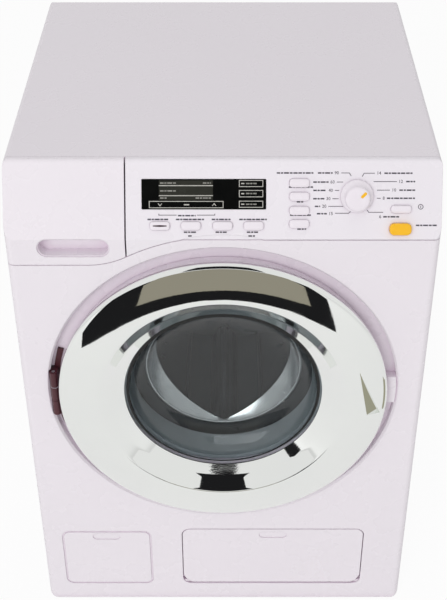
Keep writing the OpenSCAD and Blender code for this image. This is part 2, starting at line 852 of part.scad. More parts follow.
module housing_screws() color(steel_grey)
    for (s = [-1, 1], z = cover_screw_z)
        translate([s * cover_screw_x, 0, z]) difference() {
            union() {
                rod_y(screw_r, back_y - cover_screw_len, back_y - head_sink + eps);
                rod_y(screw_head_r, back_y - head_sink, back_y - head_below);
            }
            for (a = [0, 90])
                rotate([0, a, 0]) box_at([-cross_w / 2, back_y - head_below - cross_depth, -screw_head_r + cross_in],
                    [cross_w / 2, back_y, screw_head_r - cross_in]);
        }

module base_plate() color(panel_white) difference() {
    union() {
        box_at([-inner_x + seam, front_y + wall + seam, floor_z],
            [inner_x - seam, rear_in_y - seam, base_top_z]);
        // Boss of the battery cover's screw
        translate([lid_screw_x, battery_y, floor_z]) cylinder(r = 4, h = base_t + 6);
    }
    // Opening under the batteries, with a ledge for the cover
    translate([0, battery_y, 0]) {
        round_plate(battery_in[0], battery_in[1], 1, floor_z - 1, base_top_z + 1);
        round_plate(battery_in[0] + 4, battery_in[1] + 4, 2, floor_z - 1, lid_z + battery_lid_t);
    }
    translate([lid_screw_x, battery_y, 0]) {
        round_plate(9, 10, 2, floor_z - 1, lid_z + battery_lid_t);
        translate([0, 0, floor_z]) cylinder(r = screw_r + screw_gap, h = base_t + 5);
    }
    for (x = [-1, 1], y = [-1, 1])
        translate([x * foot_at[0], mid_y + y * foot_at[1], floor_z - 1])
            cylinder(r = foot_r + head_gap, h = 1 + foot_recess);
}

module rubber_feet() color(rubber_dark)
    for (x = [-1, 1], y = [-1, 1])
        translate([x * foot_at[0], mid_y + y * foot_at[1], 0]) {
            translate([0, 0, 0.4]) cylinder(r = foot_r, h = floor_z + foot_recess - 0.4);
            cylinder(r1 = foot_r - 0.4, r2 = foot_r, h = 0.4 + eps);
        }

// ---------- batteries ----------

module battery_box() color(panel_white) translate([0, battery_y, 0]) difference() {
    union() {
        round_plate(battery_out[0], battery_out[1], 2, box_bottom_z, cell_z + cell_r + 0.4 + battery_wall);
        round_plate(battery_out[0] + 8, battery_out[1] - 6, 2, box_bottom_z, box_bottom_z + 1.6);
    }
    round_plate(battery_in[0], battery_in[1], 1, box_bottom_z - 1, cell_z + cell_r + 0.4);
    translate([lid_screw_x, 0, 0]) cylinder(r = 4.3, h = far);
}

module battery_cells() color(cell_blue) translate([0, battery_y, cell_z])
    for (x = [-1, 1], y = [-1, 1])
        translate([x * cell_x, y * cell_y, 0]) rotate([0, 0, x * y > 0 ? 0 : 180]) {
            rod_x(cell_r, -cell_len / 2, cell_len / 2 - 1);
            rod_x(2.7, cell_len / 2 - 1 - eps, cell_len / 2);
        }

module battery_contacts() color(contact_nickel) translate([0, battery_y, cell_z])
    for (x = [-1, 1]) {
        box_at([x * (battery_in[0] / 2 - 0.8) - 0.3, -2 * cell_y + 1.5, -cell_r + 1],
            [x * (battery_in[0] / 2 - 0.8) + 0.3, 2 * cell_y - 1.5, cell_r - 1]);
        for (y = [-1, 1])
            translate([0, y * cell_y, 0])
                rod_x(1.8, x > 0 ? battery_in[0] / 2 - 0.5 - eps : -battery_in[0] / 2,
                    x > 0 ? battery_in[0] / 2 : -battery_in[0] / 2 + 0.5 + eps);
    }

module battery_cover() color(panel_white) difference() {
    union() {
        translate([0, battery_y, 0])
            round_plate(battery_in[0] + 4 - seam, battery_in[1] + 4 - seam, 2, lid_z, lid_z + battery_lid_t - 0.05);
        translate([lid_screw_x, battery_y, 0])
            round_plate(9 - seam, 10 - seam, 2, lid_z, lid_z + battery_lid_t - 0.05);
    }
    translate([lid_screw_x, battery_y, 0]) {
        translate([0, 0, lid_z - 1]) cylinder(r = screw_r + screw_gap, h = 9);
        translate([0, 0, lid_z - 1]) cylinder(r = screw_head_r + head_gap, h = 1.8);
    }
    // Finger grooves
    for (i = [-1:1])
        translate([-battery_in[0] / 2 + 6 + 3 * i, battery_y, 0])
            box_at([-0.5, -8, lid_z - 1], [0.5, 8, lid_z + 0.4]);
}

module battery_screw() color(steel_grey) translate([lid_screw_x, battery_y, lid_z + 0.05]) {
    difference() {
        cylinder(r = screw_head_r, h = 0.75);
        translate([0, 0, -eps]) box_at([-1.8, -0.35, 0], [1.8, 0.35, 0.5]);
        translate([0, 0, -eps]) box_at([-0.35, -1.8, 0], [0.35, 1.8, 0.5]);
    }
    translate([0, 0, 0.7]) cylinder(r = screw_r, h = 6);
}

// ---------- tub, seal and drum ----------

module tub() color(seal_grey) on_door() difference() {
    union() {
        ring(tub_in_r, tub_out_r, -tub_back, -tub_front);
        ring(seal_r + 0.3, tub_out_r, -tub_front_back, -tub_front);
        ring(bearing_r, tub_out_r, -tub_back, -tub_floor);
        ring(bearing_r, boss_r, -boss_back, -tub_floor);
        // Ears on the front panel's bosses
        for (a = ear_angles)
            rotate([0, 0, a]) difference() {
                union() {
                    translate([ear_r, 0, -tub_front_back]) cylinder(r = ear_pad_r, h = tub_wall);
                    box_at([tub_in_r, -ear_pad_r, -tub_front_back], [ear_r, ear_pad_r, -tub_front]);
                }
                translate([ear_r, 0, -far / 2]) cylinder(r = screw_r + screw_gap, h = far);
            }
        // Posts of the motor bracket
        for (s = [-1, 1])
            translate([s * post_x, -motor_drop, -bracket_front])
                cylinder(r = post_r, h = bracket_front - tub_back + eps);
        // Ribs between the boss and the rim
        for (a = [30:60:330])
            rotate([0, 0, a]) box_at([boss_r - tub_rib_t / 2, -tub_rib_t / 2, -tub_back - tub_rib_h],
                [tub_in_r - tub_rib_h, tub_rib_t / 2, -tub_back + eps]);
    }
    for (s = [-1, 1])
        translate([s * post_x, -motor_drop, -bracket_front - 1]) cylinder(r = boss_hole_r, h = boss_hole_len);
    // Drain hole in the bottom
    translate([0, -tub_in_r, -tub_floor + 12]) rotate([90, 0, 0]) translate([0, 0, -6]) cylinder(r = 3, h = 12);
}

module tub_screws() color(steel_grey) on_door() for (a = ear_angles)
    rotate([0, 0, a]) translate([ear_r, 0, 0]) {
        translate([0, 0, -tub_front_back - head_t]) cylinder(r = screw_head_r, h = head_t);
        translate([0, 0, -tub_front_back - eps]) cylinder(r = boss_hole_r - pin_gap, h = tub_wall + screw_bite);
    }

module door_seal() color(seal_grey) on_door() union() {
    ring(mouth_r, seal_r, -seal_depth, -recess_depth);
    ring(mouth_r, seal_flange_r, -recess_depth - seal_flange_t, -recess_depth);
    ring(mouth_r + 0.5, seal_r + 1.6, -tub_front, -tub_front + 1.6);
    ring(mouth_r + 0.5, seal_r + 0.25, -tub_front_back + 0.2, -tub_front);
}

// A triangle with three bulging sides and a corner at the bottom, grown at its back and at its front
module three_sided(grow, z0, z1, front_grow) {
    front = is_undef(front_grow) ? grow : front_grow;
    intersection_for(a = [90, 210, 330])
        rotate([0, 0, a]) translate([lip_offset, 0, z0])
            cylinder(r1 = lip_arc_r + grow, r2 = lip_arc_r + front, h = z1 - z0, $fn = 96);
}

module drum() color(drum_grey) on_door() difference() {
    union() {
        ring(drum_r - drum_wall, drum_r, -drum_back, -drum_front - drum_wall);
        ring(shaft_r, drum_r, -drum_back, -drum_back + drum_wall);
        ring(shaft_r, boss_r + drum_wall, -drum_back, -drum_back + drum_wall + drum_tail_gap);
        // Long beads beside the paddles
        for (p = [0:paddle_count - 1], s = [-1, 1])
            rotate([0, 0, -90 + 360 / paddle_count * p + s * bead_angle])
                translate([drum_r - drum_wall, 0, -drum_back + eps])
                    cylinder(r = bead_r, h = drum_len - drum_wall - 2 * eps);
    }
    // Drain holes between the paddles
    for (p = [0:paddle_count - 1], i = [-1:1], j = [0:drain_rows])
        rotate([0, 0, 90 + 360 / paddle_count * p + drain_angle * i])
            translate([0, 0, -drum_front - drain_start - drain_step * j - (i == 0 ? drain_shift : 0)])
                rod_x(drain_r, drum_r - 2 * drum_wall, drum_r + drum_wall);
    // Flow holes in the back
    for (a = [0:45:315])
        rotate([0, 0, a]) translate([flow_at, 0, -far]) cylinder(r = flow_r, h = far - drum_back + 2 * drum_wall);
}

// Front plate of the drum
module drum_face() color(drum_grey) on_door() difference() {
    translate([0, 0, -drum_front - drum_wall]) cylinder(r = drum_r, h = drum_wall);
    three_sided(lip_bead + pin_gap, -drum_front - 2 * drum_wall, 0);
}

// Bright eyelet round the drum's opening: a sleeve through the front plate and a bevelled rim on it
module drum_lip() color(chrome_silver) on_door() difference() {
    union() {
        three_sided(lip_bead, -drum_front - drum_wall - lip_tail, -drum_front + eps);
        three_sided(lip_bead + lip_flange, -drum_front, -drum_front + lip_bead, lip_edge);
    }
    three_sided(0, -drum_front - 2 * drum_wall, 0);
}

module drum_paddles() color(drum_grey) on_door() intersection() {
    for (p = [0:paddle_count - 1])
        rotate([0, 0, -90 + 360 / paddle_count * p])
            translate([0, 0, -drum_back + drum_wall]) linear_extrude(drum_len - 2 * drum_wall)
                polygon([
                    [drum_r, -paddle_w / 2], [drum_r, paddle_w / 2],
                    [drum_r - drum_wall - paddle_h * 0.35, paddle_w * 0.27],
                    [drum_r - drum_wall - paddle_h * 0.8, paddle_w * 0.15],
                    [drum_r - drum_wall - paddle_h, paddle_w * 0.06],
                    [drum_r - drum_wall - paddle_h, -paddle_w * 0.06],
                    [drum_r - drum_wall - paddle_h * 0.8, -paddle_w * 0.15],
                    [drum_r - drum_wall - paddle_h * 0.35, -paddle_w * 0.27]
                ]);
    translate([0, 0, -far / 2]) cylinder(r = drum_r - drum_wall, h = far);
}

module drum_bearing() color(gear_cream) on_door() union() {
    ring(shaft_r + pin_gap, bearing_r, -boss_back, -bearing_front);
    ring(shaft_r + pin_gap, bearing_r + bearing_flange[0], -boss_back - bearing_flange[1], -boss_back);
}

module drum_shaft() color(steel_grey) on_door()
    translate([0, 0, -shaft_back]) cylinder(r = shaft_r, h = shaft_back - shaft_front);

// Angle at which the involute reaches a radius
function unwind(base_r, r) = r <= base_r ? 0 : sqrt(pow(r / base_r, 2) - 1) * 180 / PI;

// Outline of a spur gear with a tooth on the X axis, thinned for backlash
function gear_outline(teeth) = let (
    pressure = 20,
    pitch = tooth_module * teeth / 2,
    base = pitch * cos(pressure),
    tip = pitch + tooth_module,
    root = pitch - 1.25 * tooth_module,
    start = max(base, root),
    lead = unwind(base, pitch) - atan(unwind(base, pitch) * PI / 180),
    half = 90 / teeth - backlash / pitch * 90 / PI + lead,
    steps = 4,
    flank = [for (i = [0:steps])
        let (r = start + (tip - start) * i / steps, t = unwind(base, r))
            [r, t - atan(t * PI / 180)]]
) [
    for (k = [0:teeth - 1]) each let (mid = 360 / teeth * k) concat(
        [[root, mid - half - 0.6]],
        [for (f = flank) [f[0], mid - half + f[1]]],
        [for (i = [steps:-1:0]) [flank[i][0], mid + half - flank[i][1]]],
        [[root, mid + half + 0.6]]
    )
];

module spur_gear(teeth, z0, z1) {
    translate([0, 0, z0]) linear_extrude(z1 - z0)
        polygon([for (p = gear_outline(teeth)) [p[0] * cos(p[1]), p[0] * sin(p[1])]]);
}

module drum_gear() color(gear_cream) on_door() difference() {
    union() {
        rotate([0, 0, -90]) spur_gear(gear_teeth, -gear_back, -gear_front);
        translate([0, 0, -hub_back]) cylinder(r = hub_r, h = hub_back - gear_front);
    }
    translate([0, 0, -far / 2]) cylinder(r = shaft_r, h = far);
    // Lightening holes
    for (a = [0:60:300])
        rotate([0, 0, a]) translate([(gear_out_r + hub_r) / 2, 0, -far / 2]) cylinder(r = lighten_r, h = far);
}

module motor_pinion() color(steel_grey) on_door() translate([0, -motor_drop, 0]) {
    rotate([0, 0, 90 + 180 / pinion_teeth])
        spur_gear(pinion_teeth, -gear_back - pinion_over, -gear_front + pinion_over);
    translate([0, 0, -bracket_back - motor_shaft_in])
        cylinder(r = motor_shaft_r, h = motor_shaft_in + bracket_back - gear_back);
}

module motor_bracket() color(panel_white) on_door() difference() {
    translate([0, -motor_drop, 0])
        round_plate(2 * (post_x + bracket_end), 2 * (motor_r + bracket_side), bracket_corner_r,
            -bracket_back, -bracket_front);
    translate([0, -motor_drop, -far / 2]) cylinder(r = motor_shaft_r + motor_neck_gap, h = far);
    for (s = [-1, 1])
        translate([s * post_x, -motor_drop, -far / 2]) cylinder(r = screw_r + screw_gap, h = far);
}

module motor() color(steel_grey) on_door() translate([0, -motor_drop, 0]) difference() {
    union() {
        intersection() {
            translate([0, 0, -bracket_back - motor_len]) cylinder(r = motor_r, h = motor_len);
            box_at([-far, -motor_flat, -far], [far, motor_flat, far]);
        }
        translate([0, 0, -bracket_back - motor_len - motor_cap[1]])
            cylinder(r = motor_cap[0], h = motor_cap[1] + eps);
        for (s = [-1, 1])
            translate([s * terminal_x, 0, -bracket_back - motor_len - terminal_len])
                box_at([-terminal_t / 2, -terminal_w / 2, 0], [terminal_t / 2, terminal_w / 2, terminal_len + eps]);
    }
    translate([0, 0, -bracket_back - motor_shaft_in - pinion_over])
        cylinder(r = motor_shaft_r + pin_gap, h = boss_hole_len);
}

module motor_screws() color(steel_grey) on_door() for (s = [-1, 1])
    translate([s * post_x, -motor_drop, 0]) {
        translate([0, 0, -bracket_back - head_t]) cylinder(r = screw_head_r, h = head_t);
        translate([0, 0, -bracket_back - eps]) cylinder(r = boss_hole_r - pin_gap, h = bracket_t + screw_bite);
    }

// ---------- door ----------

// Section of the door ring: radius, and distance in front of the front face
function band_out(r) = let (t = ring_r - ring_edge_r - r) ring_edge_out + ring_slope * t - ring_curve * pow(t, 2);
ring_steps = 5;
ring_face = concat(
    [[ring_r, -ring_back]],
    [for (i = [0:3]) [ring_r - ring_edge_r * (1 - cos(30 * i)), ring_edge_out - ring_edge_r * (1 - sin(30 * i))]],
    [for (i = [1:ring_steps]) let (r = ring_r - ring_edge_r - band_w * i / ring_steps) [r, band_out(r)]],
    [
        [ridge_r, ridge_out + ridge_crest], [ridge_r - ridge_round * 0.75, ridge_out - 0.45],
        [(ridge_r + glass_r) / 2 - 0.4, (ridge_out + ring_glass_out) / 2 - 0.3], [glass_r, ring_glass_out]
    ]
);
ring_inside = [
    [glass_r, -glass_flange_front + eps], [glass_r + ring_wall, -glass_flange_front + eps],
    [ridge_r - ring_wall * 0.4, ridge_out - ring_wall * 1.3],
    [ridge_r + ring_wall * 0.4, ridge_out - ring_wall * 1.05],
    [ring_r - ring_wall, ring_edge_out - ring_wall], [ring_r - ring_wall, -ring_back]
];

// Wedge that presses the finger grip into the band, from its crease down to its outer corner
module finger_grip() {
    crease = grip_foot - grip_apex;
    reach = grip_corner - grip_foot;
    out = band_out(norm(grip_foot));
    across_crease = (reach[1] * crease[0] - reach[0] * crease[1]) / norm(crease);
    drop = out - band_out(norm(grip_corner)) + grip_depth;
    intersection() {
        linear_extrude(ridge_out + 1) polygon([grip_apex, grip_foot, grip_corner]);
        translate([grip_foot[0], grip_foot[1], out]) rotate([0, 0, atan2(crease[1], crease[0])])
            rotate([-atan(drop / across_crease), 0, 0])
                rotate([0, atan((band_out(norm(grip_apex)) - out) / norm(crease)), 0])
                    box_at([-2 * norm(crease), -ring_r, 0], [ring_r, ring_r, ring_r]);
    }
}

module door_ring() color(chrome_silver) on_door() difference() {
    rotate_extrude($fn = 96) polygon(concat(ring_face, ring_inside));
    finger_grip();
}

module door_liner() color(panel_white) difference() {
    on_door() difference() {
        union() {
            rotate_extrude($fn = 96) polygon([
                [liner_in_r, -liner_back], [liner_out_r, -liner_back],
                [liner_out_r, ring_edge_out - ring_wall - 0.9], [liner_out_r - 1.6, ring_edge_out - ring_wall - 0.6],
                [liner_out_r - 1.6, -liner_back + 1.8],
                [glass_flange_r + 1.8, -liner_back + 1.8], [glass_flange_r + 1.8, -glass_flange_front - 0.1],
                [glass_flange_r + 0.2, -glass_flange_front - 0.1],
                [glass_flange_r + 0.2, -liner_ledge - 0.05], [liner_in_r, -liner_ledge - 0.05]
            ]);
            // Pillars of the screws
            for (a = [45:90:315])
                rotate([0, 0, a]) translate([door_screw_r, 0, -liner_back]) cylinder(r = 2.8, h = liner_back + 3);
            // Hinge: the middle knuckle and its arm behind the rim of the ring
            translate([hinge_x, -hinge_arm_half, 0]) rotate([-90, 0, 0])
                cylinder(r = knuckle_r, h = 2 * hinge_arm_half);
            box_at([hinge_x, -hinge_arm_half, -recess_depth + hinge_base_t + run_gap],
                [-liner_out_r + 1, hinge_arm_half, -ring_back - run_gap]);
        }
        for (a = [45:90:315])
            rotate([0, 0, a]) translate([door_screw_r, 0, -liner_back - 1]) {
                cylinder(r = screw_r + screw_gap, h = far);
                cylinder(r = screw_head_r + head_gap, h = 2.2);
            }
        translate([0, 0, -far]) cylinder(r = liner_in_r - eps, h = far);
    }
    translate([hinge_x, hinge_y, 0]) cylinder(r = hinge_pin_r + pin_gap, h = far);
}

// Hook on the liner's back, with a notch behind its nose for the latch bar's toe
module door_hook() color(panel_white) on_door() difference() {
    box_at([hook_x, -hook_h / 2, -liner_back - hook_len], [hook_x + hook_w, hook_h / 2, -liner_back]);
    box_at([hook_x - 1, hook_h / 2 - hook_notch, front_y - latch_y - latch_t - run_gap],
        [hook_x + hook_w + 1, hook_h, front_y - latch_y + run_gap]);
}

module door_glass() color(smoke_grey) on_door() rotate_extrude($fn = 96) polygon([
    [glass_flange_r, -glass_flange_front], [glass_flange_r, -liner_ledge],
    [bowl_r, -liner_ledge],
    [bowl_r - 1.4, -bowl_depth * 0.45], [bowl_back_r + 1.6, -bowl_depth * 0.8],
    [bowl_back_r, -bowl_depth * 0.9], [bowl_back_r - 2.6, -bowl_depth * 0.97],
    [bowl_back_r - 6, -bowl_depth], [0, -bowl_depth],
    [0, -bowl_depth + glass_wall], [bowl_back_r - 6, -bowl_depth + glass_wall],
    [bowl_back_r - 3.4, -bowl_depth * 0.97 + glass_wall],
    [bowl_back_r - glass_wall, -bowl_depth * 0.9 + glass_wall],
    [bowl_back_r, -bowl_depth * 0.76], [bowl_r - 1.4 - glass_wall, -bowl_depth * 0.42],
    [bowl_r - glass_wall, -glass_flange_front]
]);

module door_screws() color(steel_grey) on_door() for (a = [45:90:315])
    rotate([0, 0, a]) translate([door_screw_r, 0, 0]) {
        translate([0, 0, -liner_back + 0.1]) cylinder(r = screw_head_r, h = 1);
        translate([0, 0, -liner_back + 1]) cylinder(r = screw_r, h = liner_back + 1.5);
    }

// ---------- detergent drawer ----------

// What the top cover takes from the panels below it
module top_cover_room() {
    box_at([-far, fascia_top_y, top_seam_z - seam / 3], [far, far, far]);
}

// The finger recess, grown all round, down to a depth behind the front face
module finger_cup(grow, depth, top) {
    on_front() translate([finger_at[0], finger_at[1], 0])
        pill(finger_recess[0] + 2 * grow, finger_recess[1] + 2 * grow, -depth, top);
}

module drawer_front() color(panel_white) difference() {
    union() {
        intersection() {
            outer_form();
            union() {
                across(front_band(0, wall, drawer_edge_z, body_h), -body_w / 2, body_w / 2);
                across(front_band(0, side_return, drawer_edge_z, body_h), -body_w / 2, -inner_x);
                box_at([-far, top_front_y - 1, top_seam_z + 0.4], [far, fascia_top_y, far]);
            }
            above_seam(seam / 2);
            box_at([-far, -far, 0], [drawer_right_x, far, far]);
        }
        // Cup behind the finger recess
        finger_cup(finger_wall, finger_depth + finger_wall, -wall + eps);
    }
    top_cover_room();
    finger_cup(0, finger_depth, 1);
    finger_cup(0.5, 0.6, 1);
}

module drawer_tray() color(button_white) difference() {
    box_at([tray_left_x, tray_front_y, tray_z], [tray_right_x, tray_front_y + tray_len, tray_z + tray_h]);
    // Two chambers behind the finger cup
    for (s = [-1, 1])
        box_at([tray_x + s * tray_w / 4 - tray_w / 4 + tray_wall * (s < 0 ? 1 : 0.5),
                tray_front_y + finger_depth + finger_wall + 2, tray_z + tray_wall],
            [tray_x + s * tray_w / 4 + tray_w / 4 - tray_wall * (s > 0 ? 1 : 0.5),
                tray_front_y + tray_len - tray_wall, tray_z + tray_h + 1]);
    // Room for the finger cup and the slope
    finger_cup(finger_wall + 0.2, finger_depth + finger_wall + 0.2, 0);
    across([[front_y - 9, kink_z - wall * tan(lean / 2)], [front_y + wall, kink_z - wall * tan(lean / 2)],
        [slope_y(wall, body_h), body_h], [front_y - 9, body_h]], -far, far);
}

module drawer_housing() color(panel_white) difference() {
    lo = [tray_left_x - housing_gap - housing_wall, housing_front_y, tray_z - housing_gap - housing_wall];
    hi = [tray_right_x + housing_gap + housing_wall,
          tray_front_y + tray_len + housing_gap + housing_wall, tray_z + tray_h];
    union() {
        box_at(lo, hi);
        // Flange that rests against the left side panel
        box_at([-inner_x, housing_front_y + 3, lo[2]], [lo[0] + eps, hi[1] - 4, lo[2] + housing_wall]);
    }
    box_at([lo[0] + housing_wall, lo[1] - 1, lo[2] + housing_wall],
        [hi[0] - housing_wall, hi[1] - housing_wall, hi[2] + 1]);
    across([[front_y - 9, kink_z - side_return],
        [slope_y(side_return + 0.6, kink_z - side_return), kink_z - side_return],
        [slope_y(side_return + 0.6, body_h), body_h], [front_y - 9, body_h]], -far, far);
}

// ---------- control panel ----------

// The holes of the controls: each place with its width and height
function small_places() = concat(
    [for (x = row_x) [[x, row_v], small_button]],
    [for (v = column_v) [[column_x, v], small_button]],
    [[power_at, power_button_size], [door_button_at, door_button_size]]
);

module control_fascia() color(panel_white) difference() {
    union() {
        intersection() {
            outer_form();
            union() {
                across(front_band(0, wall, drawer_edge_z, body_h), -body_w / 2, body_w / 2);
                across(front_band(0, side_return, drawer_edge_z, body_h), inner_x, body_w / 2);
                box_at([-far, top_front_y - 1, top_seam_z + 0.4], [far, fascia_top_y, far]);
            }
            above_seam(seam / 2);
            box_at([drawer_right_x + drawer_gap, -far, 0], [far, far, far]);
        }
        // Posts of the circuit board
        on_slope() for (x = board_x, y = [-1, 1])
            translate([x == board_x[0] ? x + post_in : x - post_in, board_v + y * (board_h / 2 - post_in), board_top])
                cylinder(r = board_post_r, h = -board_top - wall + eps);
    }
    top_cover_room();
    on_slope() {
        for (p = small_places())
            translate([p[0][0], p[0][1], 0])
                pill(p[1][0] + 2 * button_gap, p[1][1] + 2 * button_gap, -wall - 2, 1);
        translate([knob_at[0], knob_at[1], -wall - 2]) cylinder(r = knob_spindle_r + run_gap, h = 9);
        translate([display_x, display_v, 0]) round_plate(display_w, display_h, 0.4, -display_t, 1);
    }
}

module display_window() color(display_black) on_slope([display_x, display_v])
    round_plate(display_w - 0.1, display_h - 0.1, 0.4, -display_t, 0.1);

// A button with a crowned cap and a hidden rim
module button(at, size, out) {
    on_slope(at) {
        pill(size[0], size[1], -wall - run_gap - eps, out - 0.3);
        pill(size[0] - 0.5, size[1] - 0.5, out - 0.3 - eps, out);
        pill(size[0] + 2 * button_rim, size[1] + 2 * button_rim, -wall - run_gap - button_flange_t, -wall - run_gap);
    }
}

module start_button() color(button_white) button([row_x[0], row_v], small_button, button_out);
module fill_button() color(button_white) button([row_x[1], row_v], small_button, button_out);
module wash_button() color(button_white) button([row_x[2], row_v], small_button, button_out);
module drain_button() color(button_white) button([row_x[3], row_v], small_button, button_out);
module program_button() color(button_white) button([column_x, column_v[3]], small_button, button_out);
module option_button() color(button_white) button([column_x, column_v[2]], small_button, button_out);
module delay_button() color(button_white) button([column_x, column_v[1]], small_button, button_out);
module spin_button() color(button_white) button([column_x, column_v[0]], small_button, button_out);
module power_button() color(button_white) button(power_at, power_button_size, button_out);

module door_button() color(door_yellow) {
    button(door_button_at, door_button_size, door_button_out);
    on_slope(door_button_at) translate([0, 0, -stem_len]) cylinder(r = stem_r, h = stem_len - wall);
}

module latch_bar() color(panel_white) difference() {
    union() {
        box_at([latch_x - latch_w / 2, latch_y, latch_bottom_z],
            [latch_x + latch_w / 2, latch_y + latch_t, latch_top_z]);
        // Head under the door button's stem
        box_at([latch_x - latch_w / 2, latch_y, latch_top_z - latch_head_h],
            [latch_x + latch_w / 2, stem_end_y + stem_r + latch_head_over, latch_top_z]);
        // Toe over the door's hook
        box_at([min(hook_x + pin_gap, latch_x - latch_w / 2), latch_y, latch_bottom_z],
            [latch_x, latch_y + latch_t, latch_bottom_z + latch_toe_h]);
    }
    // Slanted top of the head
    translate([0, stem_end_y + stem_r + latch_head_over, latch_top_z - latch_head_h * 0.4]) rotate([-35, 0, 0])
        box_at([0, -far, 0], [far, 6, far]);
}

module keypads() color(keypad_grey) on_slope() {
    pads = [
        [[(row_x[0] + row_x[3]) / 2, row_v], [row_x[3] - row_x[0] + 9, 6]],
        [[column_x, (column_v[0] + column_v[3]) / 2], [9, column_v[3] - column_v[0] + 4]],
        [[power_at[0] - 2, power_at[1]], [12, 5]]
    ];
    domes = concat([for (x = row_x) [x, row_v]], [for (v = column_v) [column_x, v]], [power_at]);
    for (p = pads)
        translate([p[0][0], p[0][1], 0])
            round_plate(p[1][0], p[1][1], 1, board_top, board_top + keypad_t);
    for (d = domes)
        translate([d[0], d[1], board_top + keypad_t - eps]) cylinder(r1 = 1.5, r2 = 1.1, h = dome_h);
}

module circuit_board() color(board_green) on_slope() difference() {
    box_at([board_x[0], board_v - board_h / 2, board_top - board_t],
        [power_at[0] + 5, board_v + board_h / 2, board_top]);
    translate([door_button_at[0], door_button_at[1], -far / 2]) cylinder(r = stem_r + 1, h = far);
}

module program_switch() color(rubber_dark) on_slope(knob_at) difference() {
    round_plate(switch_size, switch_size, 1.5, board_top, switch_top);
    translate([0, 0, board_top + 0.8]) cylinder(r = knob_spindle_r + pin_gap, h = far);
}

module program_knob() color(button_white) on_slope(knob_at) difference() {
    union() {
        rotate_extrude() polygon([
            [0, run_gap], [knob_skirt_r, run_gap], [knob_skirt_r, 1], [knob_skirt_r - 0.3, 1.4],
            [knob_cap_r + 0.15, 1.8], [knob_cap_r, knob_out - 0.7], [knob_cap_r - 0.25, knob_out - 0.2],
            [knob_cap_r - 0.8, knob_out], [0, knob_out]
        ]);
        translate([0, 0, board_top + 1]) cylinder(r = knob_spindle_r, h = run_gap - board_top - 1 + eps);
    }
    rotate([0, 0, -45]) translate([0, knob_cap_r - 2.6, knob_out - 0.3]) round_plate(1.2, 3, 0.5, 0, 1);
}

module knob_pointer() color(door_yellow) on_slope(knob_at)
    rotate([0, 0, -45]) translate([0, knob_cap_r - 2.6, knob_out - 0.3]) round_plate(1.15, 2.95, 0.5, 0, 0.35);

// ---------- service flap ----------

// Wider rounding of the flap's lower corners, which lets it swing clear of the panel
module swing_corners() {
    w = flap_size[0] / 2;
    h = flap_size[1] / 2;
    box_at([-w, -h + flap_low_r, -flap_t - 1], [w, h + 1, 1]);
    box_at([-w + flap_low_r, -h - 1, -flap_t - 1], [w - flap_low_r, -h + flap_low_r + eps, 1]);
    for (s = [-1, 1])
        translate([s * (w - flap_low_r), -h + flap_low_r, -flap_t - 1]) cylinder(r = flap_low_r, h = flap_t + 2);
}

module service_flap() color(panel_white) {
    difference() {
        intersection() {
            on_front() flap_hole(0, -flap_t, 0);
            on_front() translate([flap_x, flap_z + flap_size[1] / 2, 0]) swing_corners();
            union() {
                box_at([-far, -far, flap_axis_z], [far, far, far]);
                translate([0, flap_axis_y, flap_axis_z]) rod_x(flap_t / 2, -far / 2, far / 2);
            }
        }
        on_front() translate([flap_x, flap_z, 0]) finger_mark(flap_size[1] - 4);
    }
    for (s = [-1, 1])
        translate([flap_x, flap_axis_y, flap_axis_z])
            rod_x(flap_pin_r, s > 0 ? flap_pin_in : -flap_pin_x, s > 0 ? flap_pin_x : -flap_pin_in);
}

module flap_pocket() color(panel_white) difference() {
    w = flap_size[0] - 2 * pocket_inset;
    h = flap_size[1] - 2 * pocket_inset;
    union() {
        translate([flap_x, 0, flap_z + flap_size[1] / 2])
            box_at([-w / 2 - pocket_wall, pocket_front_y, -h / 2 - pocket_wall],
                [w / 2 + pocket_wall, pocket_front_y + pocket_depth, h / 2 + pocket_wall]);
        // Flange glued behind the front panel
        translate([0, pocket_flange_t + wall, 0]) on_front()
            flap_hole(pocket_flange, 0, pocket_flange_t);
    }
    translate([flap_x, 0, flap_z + flap_size[1] / 2])
        box_at([-w / 2, pocket_front_y - 1, -h / 2], [w / 2, pocket_front_y + pocket_depth - pocket_wall, h / 2]);
}

front_panel();
control_fascia();
display_window();
left_side_panel();
right_side_panel();
top_cover();
rear_cover();
housing_screws();
base_plate();
rubber_feet();
battery_box();
battery_cells();
battery_contacts();
battery_cover();
battery_screw();
tub();
tub_screws();
door_seal();
drum_bearing();
motor_bracket();
motor();
motor_screws();
hinge_bracket();
hinge_pin();
door_catch();
drawer_housing();
circuit_board();
keypads();
program_switch();
flap_pocket();
door_ring();
door_liner();
door_hook();
door_glass();
door_screws();
drum();
drum_face();
drum_lip();
drum_paddles();
drum_shaft();
drum_gear();
motor_pinion();
drawer_front();
drawer_tray();
program_knob();
knob_pointer();
start_button();
fill_button();
wash_button();
drain_button();
program_button();
option_button();
delay_button();
spin_button();
power_button();
door_button();
latch_bar();
service_flap();
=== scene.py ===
"""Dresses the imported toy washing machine: finishes, printed marks, smooth turned parts and the studio.

Every length is in metres in the frame's own axes: X to the right, Y to the back, Z up.
"""

import json
import logging
import math
from dataclasses import dataclass, field
from enum import Enum
from typing import Optional, Sequence

import bmesh
import bpy
from mathutils import Matrix, Vector


